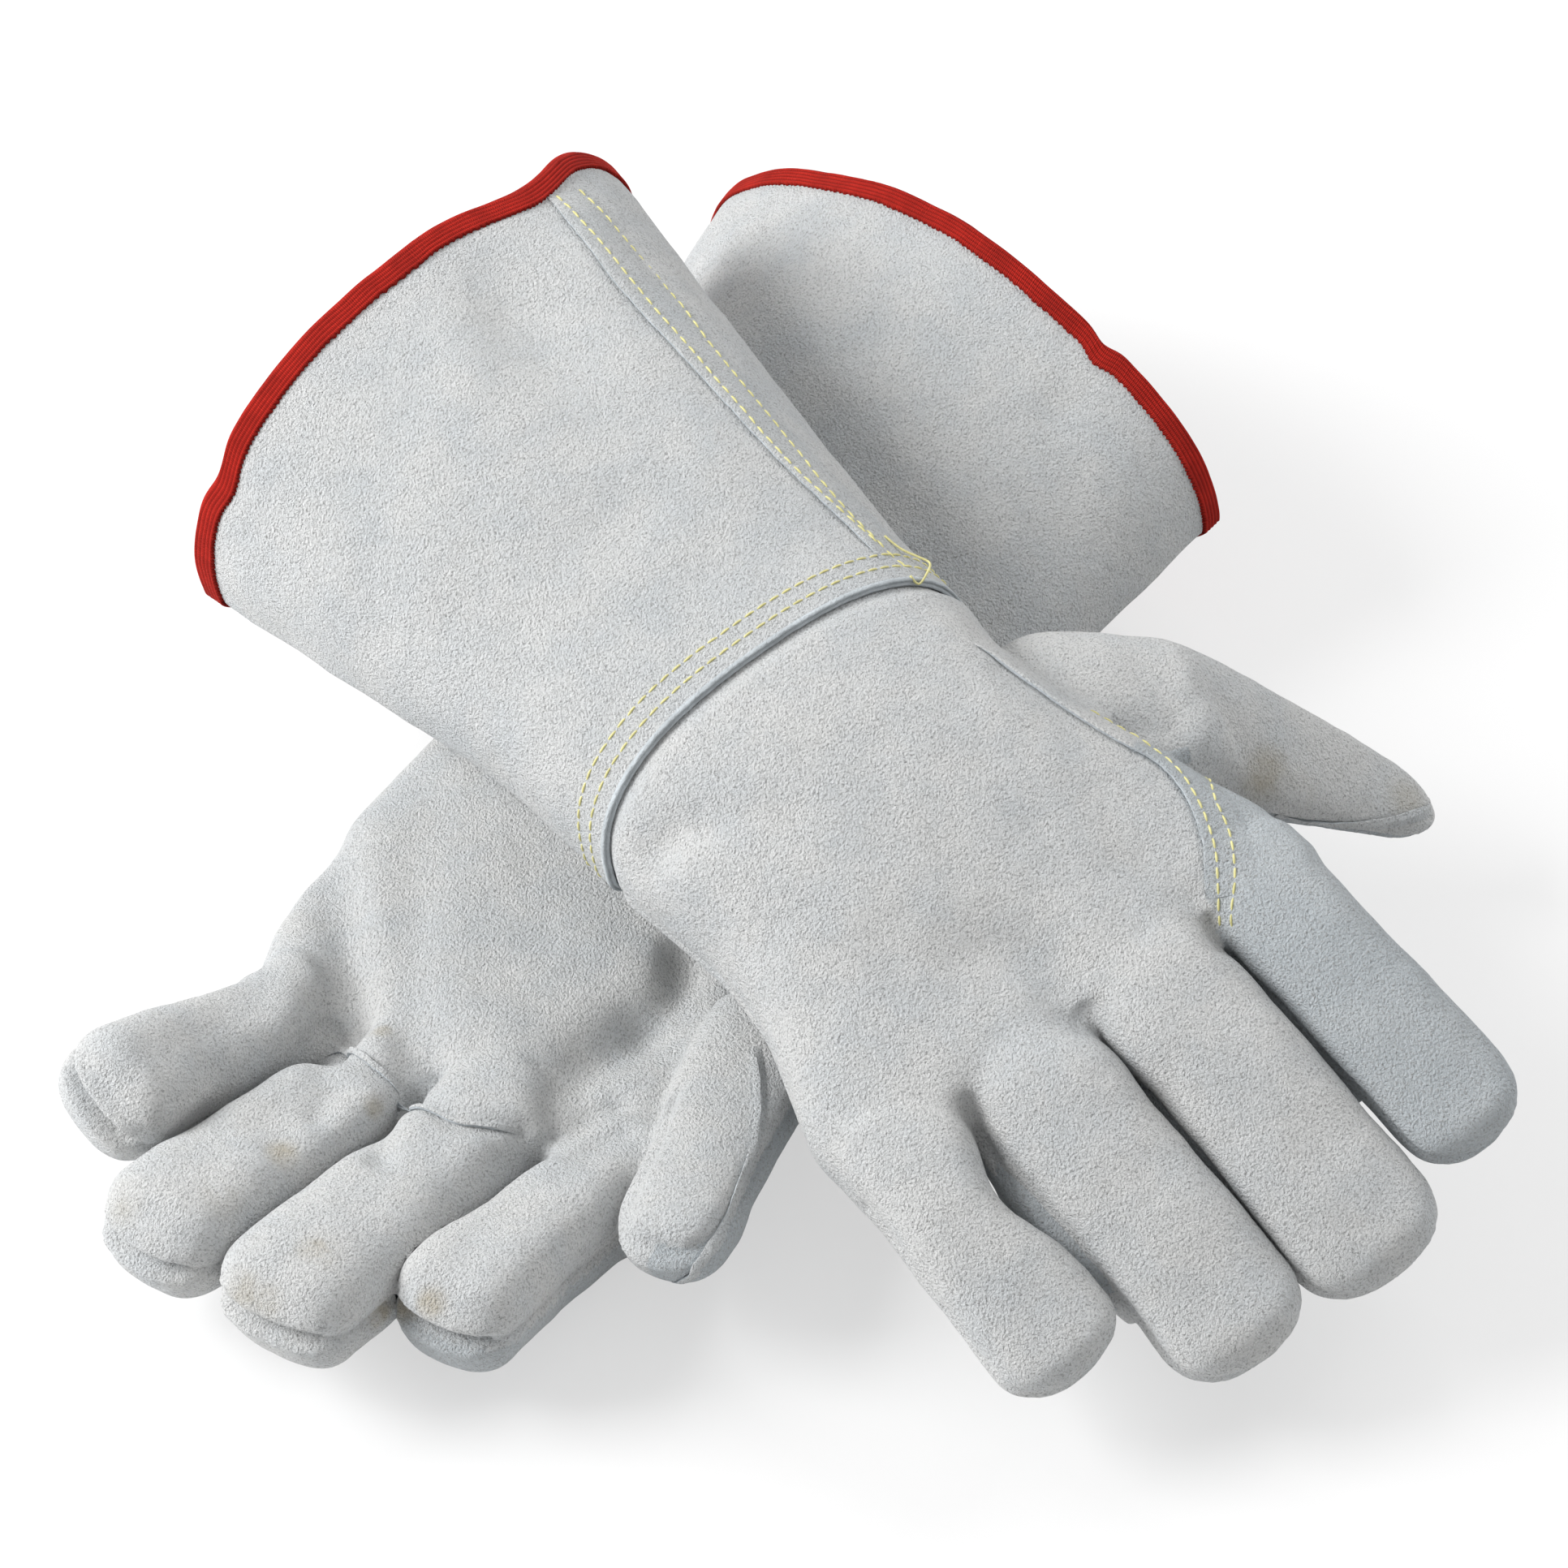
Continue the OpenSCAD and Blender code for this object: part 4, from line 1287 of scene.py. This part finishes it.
def feed(tree, socket, value):
    """Links a socket to another, or gives it a number or a colour."""
    if isinstance(value, bpy.types.NodeSocket):
        tree.links.new(value, socket)
    else:
        socket.default_value = value


def maths(tree, operation, *values):
    """A math node's result; each value is a socket or a number."""
    node = tree.nodes.new("ShaderNodeMath")
    node.operation = operation
    for k, value in enumerate(values):
        feed(tree, node.inputs[k], value)
    return node.outputs["Value"]


def mix_colour(tree, factor, a, b):
    """A colour mix; a is a socket or a colour, b is a colour, factor is a socket."""
    node = tree.nodes.new("ShaderNodeMix")
    node.data_type = "RGBA"
    feed(tree, node.inputs["Factor"], factor)
    feed(tree, node.inputs["A"], a if isinstance(a, bpy.types.NodeSocket) else (*a, 1.0))
    feed(tree, node.inputs["B"], (*b, 1.0))
    return node.outputs["Result"]


def scaled(tree, socket, low, high, out_low, out_high):
    """A value moved from one range to another, and held there."""
    node = tree.nodes.new("ShaderNodeMapRange")
    for name, value in (("From Min", low), ("From Max", high), ("To Min", out_low), ("To Max", out_high)):
        node.inputs[name].default_value = value
    feed(tree, node.inputs["Value"], socket)
    return node.outputs["Result"]


def noise_of(tree, place, scale, detail, roughness):
    node = tree.nodes.new("ShaderNodeTexNoise")
    node.inputs["Detail"].default_value = detail
    node.inputs["Roughness"].default_value = roughness
    feed(tree, node.inputs["Vector"], place)
    feed(tree, node.inputs["Scale"], scale)
    return node.outputs["Fac"]


def read_mark(tree, name):
    node = tree.nodes.new("ShaderNodeAttribute")
    node.attribute_name = name
    return node.outputs["Fac"]


def shaded(colour, *shares):
    """A colour made darker by one share, or by one for each of its parts."""
    return tuple(x * y for x, y in zip(colour, shares if len(shares) > 1 else shares * 3))


# The nap: scale and share of its clumps, and the range of fibre heights that shows as flecks
CLUMP_SCALE = 1250.0
CLUMP_SHARE = 0.8
FLECK_FROM = 0.52
FLECK_TO = 0.68


def nap_group():
    """Short fibres and mottling of split hide: a fleck mask, a mottle mask and the height of the nap."""
    group = bpy.data.node_groups.new("Split hide nap", "ShaderNodeTree")
    for name in ("Fibre Scale", "Mottle Scale"):
        group.interface.new_socket(name, in_out="INPUT", socket_type="NodeSocketFloat")
    for name in ("Fleck", "Mottle", "Height"):
        group.interface.new_socket(name, in_out="OUTPUT", socket_type="NodeSocketFloat")
    given = group.nodes.new("NodeGroupInput")
    out = group.nodes.new("NodeGroupOutput")
    place = group.nodes.new("ShaderNodeTexCoord").outputs["Object"]
    stretch = group.nodes.new("ShaderNodeMapping")
    stretch.inputs["Rotation"].default_value = (0.4, 0.3, 0.9)
    stretch.inputs["Scale"].default_value = (1.0, 0.8, 1.0)
    feed(group, stretch.inputs["Vector"], place)
    fibre = noise_of(group, stretch.outputs["Vector"], given.outputs["Fibre Scale"], 3.0, 0.65)
    mottle = noise_of(group, place, given.outputs["Mottle Scale"], 4.0, 0.62)
    clumps = noise_of(group, place, CLUMP_SCALE, 3.0, 0.5)
    feed(group, out.inputs["Fleck"], scaled(group, fibre, FLECK_FROM, FLECK_TO, 0.0, 1.0))
    feed(group, out.inputs["Mottle"], mottle)
    feed(group, out.inputs["Height"], maths(group, "MULTIPLY_ADD", clumps, CLUMP_SHARE, fibre))
    return group


def nap_of(tree, fibre_scale, mottle_scale):
    """The nap group's outputs, placed in a material with its own scales."""
    nap = tree.nodes.new("ShaderNodeGroup")
    nap.node_tree = made["nap"]
    nap.inputs["Fibre Scale"].default_value = fibre_scale
    nap.inputs["Mottle Scale"].default_value = mottle_scale
    return nap.outputs


def finish_material(tree, shader, base, height, strength, distance):
    """Gives the shader its colour and a bump from a height."""
    feed(tree, shader.inputs["Base Color"], base)
    bump = tree.nodes.new("ShaderNodeBump")
    bump.inputs["Strength"].default_value = strength
    bump.inputs["Distance"].default_value = distance
    feed(tree, bump.inputs["Height"], height)
    feed(tree, shader.inputs["Normal"], bump.outputs["Normal"])


def suede_material():
    """Split hide: pale grey nap with flecks, bluer patches and brown marks."""
    c = colours()
    material, tree, shader = new_material("Split hide", c.leather, 0.95)
    nap = nap_of(tree, 1750.0, 55.0)
    mottle = nap["Mottle"]
    patch = scaled(tree, mottle, 0.40, 0.66, 0.0, 1.0)
    base = mix_colour(tree, patch, c.leather, shaded(c.leather, 0.90, 0.925, 0.95))
    cool = maths(tree, "MULTIPLY", read_mark(tree, "cool"), scaled(tree, mottle, 0.25, 0.6, 0.75, 1.0))
    base = mix_colour(tree, cool, base, c.cool)
    fleck = scaled(tree, nap["Fleck"], 0.0, 1.0, 0.0, 0.9)
    base = mix_colour(tree, fleck, base, shaded(c.leather, 0.5))
    stain = maths(tree, "MULTIPLY", read_mark(tree, "stain"), scaled(tree, mottle, 0.36, 0.62, 0.0, 1.0))
    base = mix_colour(tree, stain, base, c.stain)
    shader.inputs["Specular IOR Level"].default_value = 0.1
    shader.inputs["Sheen Weight"].default_value = 0.15
    shader.inputs["Sheen Roughness"].default_value = 0.6
    finish_material(tree, shader, base, nap["Height"], 1.0, 0.0014)
    return material


def shaded_raw_edge_material():
    """The cut edge of the hide, a blue grey darkened with painted shade."""
    c = colours()
    material, tree, shader = new_material("Raw edge with painted shade", c.cool, 0.95)
    nap = nap_of(tree, 1300.0, 160.0)
    # Painted shade: the cut hide's blue grey is mottled between two darker copies of it
    shade = scaled(tree, nap["Mottle"], 0.3, 0.7, 0.0, 1.0)
    base = mix_colour(tree, shade, shaded(c.cool, 0.95), shaded(c.cool, 0.7))
    finish_material(tree, shader, base, nap["Height"], 0.8, 0.0006)
    return material


# Distance in millimetres from one cross thread of the tape to the next
TAPE_WEAVE = 0.62


def tape_material():
    """Woven tape: fine cross threads over its ribs, with painted shade between the threads and in the
    grooves between the ribs.
    """
    c = colours()
    material, tree, shader = new_material("Ribbed tape", c.tape, 0.85)
    run = maths(tree, "MULTIPLY", read_mark(tree, "along"), 2 * math.pi / TAPE_WEAVE)
    wave = maths(tree, "SINE", run)
    nap = nap_of(tree, 1500.0, 140.0)
    shade = scaled(tree, nap["Mottle"], 0.35, 0.7, 0.0, 0.75)
    base = mix_colour(tree, shade, c.tape, shaded(c.tape, 0.55))
    # Painted shade: darker where the weave's bump is low, between the cross threads
    base = mix_colour(tree, scaled(tree, wave, -1.0, 1.0, 0.35, 0.0), base, shaded(c.tape, 0.6))
    # Painted shade: darker in the grooves between the ribs, where their crest mark is low
    rib = scaled(tree, read_mark(tree, "rib"), 0.0, 0.8, 0.8, 0.0)
    base = mix_colour(tree, rib, base, shaded(c.tape, 0.35))
    shader.inputs["Specular IOR Level"].default_value = 0.15
    finish_material(tree, shader, base, wave, 0.6, 0.0003)
    return material


def thread_material():
    """Yellow sewing thread with a slight twist of light and dark."""
    c = colours()
    material, tree, shader = new_material("Sewing thread", c.thread, 0.6)
    nap = nap_of(tree, 2600.0, 700.0)
    shade = scaled(tree, nap["Mottle"], 0.3, 0.7, 0.0, 1.0)
    base = mix_colour(tree, shade, c.thread, shaded(c.thread, 0.72))
    finish_material(tree, shader, base, nap["Height"], 0.5, 0.0001)
    return material


class GLOVES_OT_materials(bpy.types.Operator):
    """Mix the hide, tape and thread materials"""

    bl_idname = "gloves.materials"
    bl_label = "Glove materials"

    def execute(self, context):
        made["nap"] = nap_group()
        made["suede"] = suede_material()
        # The raw edge material paints shade onto the cut hide
        made["raw"] = shaded_raw_edge_material()
        made["tape"] = tape_material()
        made["thread"] = thread_material()
        return {"FINISHED"}


class GLOVES_OT_hands(bpy.types.Operator):
    """Sew the hand, fingers and thumb of both gloves"""

    bl_idname = "gloves.hands"
    bl_label = "Hands"

    def execute(self, context):
        for glove in GLOVES:
            sew_hand(glove)
        return {"FINISHED"}


class GLOVES_OT_cuffs(bpy.types.Operator):
    """Cut the flared cuffs and bind their mouths"""

    bl_idname = "gloves.cuffs"
    bl_label = "Cuffs"

    def execute(self, context):
        for glove in GLOVES:
            cut_cuff(glove)
            bind_cuff(glove)
        return {"FINISHED"}


# Lapped edges drawn from the photograph: name, glove, what it lies on, pixels, step, side, width, height,
# the digit it belongs to or 0, and how cool its hide is
LAPS = (
    ("right_cross_lap", RIGHT_GLOVE, "right_hand", CROSS_EDGE, 1.2, -1, 5.0, 1.7, 0, 1.0),
    ("right_cuff_lap", RIGHT_GLOVE, "right_cuff", CUFF_LAP_EDGE, 1.5, 1, 16.0, 1.3, 0, 0.35),
    ("left_cuff_lap", LEFT_GLOVE, "left_cuff", LEFT_LAP_EDGE, 1.5, 1, 14.0, 1.3, 0, CUFF_COOL),
    ("right_thumb_seam", RIGHT_GLOVE, "right_hand", RIGHT_THUMB_SEAM, 1.2, 1, 4.0, 1.0, 5, 0.3),
    ("left_thumb_seam", LEFT_GLOVE, "left_hand", LEFT_THUMB_SEAM, 1.2, 1, 4.0, 1.0, 5, 0.3),
)
SIDE_LAP_STEP = 1.5
WELT_STEP = 1.2


class GLOVES_OT_seams(bpy.types.Operator):
    """Lay the lapped raw edges and the welts"""

    bl_idname = "gloves.seams"
    bl_label = "Lapped seams"

    def execute(self, context):
        hand = made["right_hand"]
        path = even_path(made["side_seam"], SIDE_LAP_STEP)
        obj = lap_strip("right_side_lap", hand, path, *SIDE_LAP, (RIGHT_GLOVE, 1))
        cross = RIGHT_GLOVE.to_pattern(seen(hand, CROSS_SEAM)[0])[0]
        mark(obj, "cool", RIGHT_GLOVE.to_pattern(points_of(obj))[:, 0] > cross)
        made["right_side_lap"] = tree_of(obj)
        for name, glove, base, pixels, step, side, width, height, digit, cool in LAPS:
            path = even_path(seen_path(made[base], pixels), step)
            obj = lap_strip(name, made[base], path, side, width, height, (glove, digit))
            mark_all(obj, "cool", cool)
            made[name] = tree_of(obj)
        for glove, digit, path in self.welts():
            name = glove.side + "_" + DIGITS[digit - 1] + "_welt"
            obj = lap_strip(name, made[glove.side + "_hand"], path, *WELT, (glove, digit))
            mark_all(obj, "cool", 0.0)
            if digit == 3:
                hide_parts(glove.side + "_finger_welt")
        return {"FINISHED"}

    def welts(self):
        """Glove, digit and path of each welt at the roots of the middle and ring fingers."""
        rows = []
        for digit, pixels in ((3, RING_WELT), (2, MIDDLE_WELT)):
            rows.append((LEFT_GLOVE, digit, seen_path(made["left_hand"], pixels)))
        for digit, angles in ((3, RIGHT_RING_WELT), (2, RIGHT_MIDDLE_WELT)):
            q = np.linspace(*angles, WELT_POINTS)
            rows.append((RIGHT_GLOVE, digit, RIGHT_GLOVE.skin(np.full(WELT_POINTS, FINGER_ROOT), q, 0.0)))
        return [(glove, digit, even_path(path, WELT_STEP)) for glove, digit, path in rows]


class GLOVES_OT_stitches(bpy.types.Operator):
    """Sew the yellow stitch rows"""

    bl_idname = "gloves.stitches"
    bl_label = "Stitches"

    def execute(self, context):
        for glove in GLOVES:
            side = glove.side
            cuff, hand = (made[side + "_cuff"],), (made[side + "_hand"],)
            if side == "right":
                cuff += (made["right_cuff_lap"],)
                hand += (made["right_side_lap"],)
            q = np.linspace(0, 360, EDGE_POINTS)
            rows = [(cuff, glove.skin(glove.wrist_u(q) - back, q, CUFF_OUT + 1.0)) for back in EDGE_ROWS]
            sew_rows(side + "_wrist_stitches", rows, (glove, 0), side + "_wrist_thread")
            loose = ()
            if side == "right":
                cuff_rows = [(cuff, seen_path(cuff[0], px)) for px in CUFF_ROWS_PX]
                loose = [thread_end(cuff, THREAD_END, THREAD_RISE)]
                side_rows = [(hand, seen_path(hand[0], px)) for px in SIDE_ROWS_PX]
            else:
                cuff_rows = self.hidden_rows(glove, cuff, *LEFT_CUFF_ROWS)
                side_rows = self.hidden_rows(glove, hand, *LEFT_SIDE_ROWS)
            sew_rows(side + "_cuff_stitches", cuff_rows, (glove, 0), side + "_cuff_seam_thread", loose)
            bends_with = 1 if side == "right" else 0
            sew_rows(side + "_side_stitches", side_rows, (glove, bends_with), side + "_back_seam_thread")
        return {"FINISHED"}

    def hidden_rows(self, glove, trees, first, last, count, angles, height):
        """Straight rows along the glove at set angles."""
        u = np.linspace(first, last, count)
        return [(trees, glove.skin(u, np.full(count, angle), height)) for angle in angles]


def seen_rays(tree):
    """1 for rays from the camera and for rays seen in gloss or through glass."""
    path = tree.nodes.new("ShaderNodeLightPath").outputs
    total = path["Is Camera Ray"]
    for name in ("Is Glossy Ray", "Is Transmission Ray"):
        total = maths(tree, "MAXIMUM", total, path[name])
    return total


# Studio lights: name, place and size in metres, and power
LIGHTS = (("key", (-1.4, -0.05, 1.0), 0.8, 33.0), ("fill", (0.9, 0.8, 1.0), 0.9, 10.0))
LIGHT_AIM = (0.0, 0.0, 0.05)


def add_light(name, at, size, power):
    data = bpy.data.lights.new(name, "AREA")
    data.energy = power
    data.size = size
    obj = bpy.data.objects.new(name, data)
    obj.location = at
    obj.rotation_euler = (Vector(LIGHT_AIM) - Vector(at)).to_track_quat("-Z", "Y").to_euler()
    bpy.context.scene.collection.objects.link(obj)


# The floor: half its width and its height in metres, and its share of white; then the world's strength
FLOOR_HALF = 4.0
FLOOR_DOWN = -0.0002
FLOOR_GLOW = 0.55
WORLD_LIGHT = 0.47


class GLOVES_OT_stage(bpy.types.Operator):
    """Set the pale floor, the soft studio light and the camera"""

    bl_idname = "gloves.stage"
    bl_label = "Stage"

    def execute(self, context):
        scene = context.scene
        deselect()
        bpy.ops.mesh.primitive_plane_add(size=2 * FLOOR_HALF, location=(0, 0, FLOOR_DOWN))
        floor = context.object
        floor.name = "floor"
        material, tree, shader = new_material("Pale floor", colours().floor, 0.9)
        shader.inputs["Specular IOR Level"].default_value = 0.0
        glow = tree.nodes.new("ShaderNodeEmission")
        glow.inputs["Strength"].default_value = 1.0
        mix = tree.nodes.new("ShaderNodeMixShader")
        feed(tree, mix.inputs["Fac"], maths(tree, "MULTIPLY", seen_rays(tree), FLOOR_GLOW))
        feed(tree, mix.inputs[1], shader.outputs["BSDF"])
        feed(tree, mix.inputs[2], glow.outputs["Emission"])
        feed(tree, tree.nodes["Material Output"].inputs["Surface"], mix.outputs["Shader"])
        floor.data.materials.append(material)
        world = bpy.data.worlds.new("Studio")
        scene.world = world
        world.use_nodes = True
        tree = world.node_tree
        back = tree.nodes["Background"]
        feed(tree, back.inputs["Strength"], scaled(tree, seen_rays(tree), 0.0, 1.0, WORLD_LIGHT, 1.0))
        back.inputs["Color"].default_value = (1.0, 1.0, 1.0, 1.0)
        for light in LIGHTS:
            add_light(*light)
        data = bpy.data.cameras.new("camera")
        data.lens = LENS
        data.sensor_width = SENSOR
        camera = bpy.data.objects.new("camera", data)
        camera.location = CAMERA_AT * MM
        camera.rotation_euler = (math.pi / 2 - CAMERA_RISE, 0.0, 0.0)
        scene.collection.objects.link(camera)
        scene.camera = camera
        scene.view_settings.view_transform = "Standard"
        return {"FINISHED"}


class GLOVES_PT_panel(bpy.types.Panel):
    """Lists the gloves' steps, sizes and colours"""

    bl_idname = "GLOVES_PT_panel"
    bl_label = "Gauntlet gloves"
    bl_space_type = "VIEW_3D"
    bl_region_type = "UI"
    bl_category = "Gloves"

    def draw(self, context):
        for step in STEPS:
            self.layout.operator(step.bl_idname)
        for group in (context.scene.glove_sizes, context.scene.glove_colours):
            for name in group.__annotations__:
                self.layout.prop(group, name)


STEPS = (GLOVES_OT_materials, GLOVES_OT_hands, GLOVES_OT_cuffs, GLOVES_OT_seams, GLOVES_OT_stitches,
         GLOVES_OT_stage)
CLASSES = (GloveSizes, GloveColours) + STEPS + (GLOVES_PT_panel,)


def register():
    for cls in CLASSES:
        bpy.utils.register_class(cls)
    bpy.types.Scene.glove_sizes = PointerProperty(type=GloveSizes)
    bpy.types.Scene.glove_colours = PointerProperty(type=GloveColours)


def unregister():
    del bpy.types.Scene.glove_colours
    del bpy.types.Scene.glove_sizes
    for cls in reversed(CLASSES):
        bpy.utils.unregister_class(cls)


def main():
    register()
    bpy.ops.gloves.materials()
    bpy.ops.gloves.hands()
    bpy.ops.gloves.cuffs()
    bpy.ops.gloves.seams()
    bpy.ops.gloves.stitches()
    bpy.ops.gloves.stage()


if __name__ == "__main__":
    main()
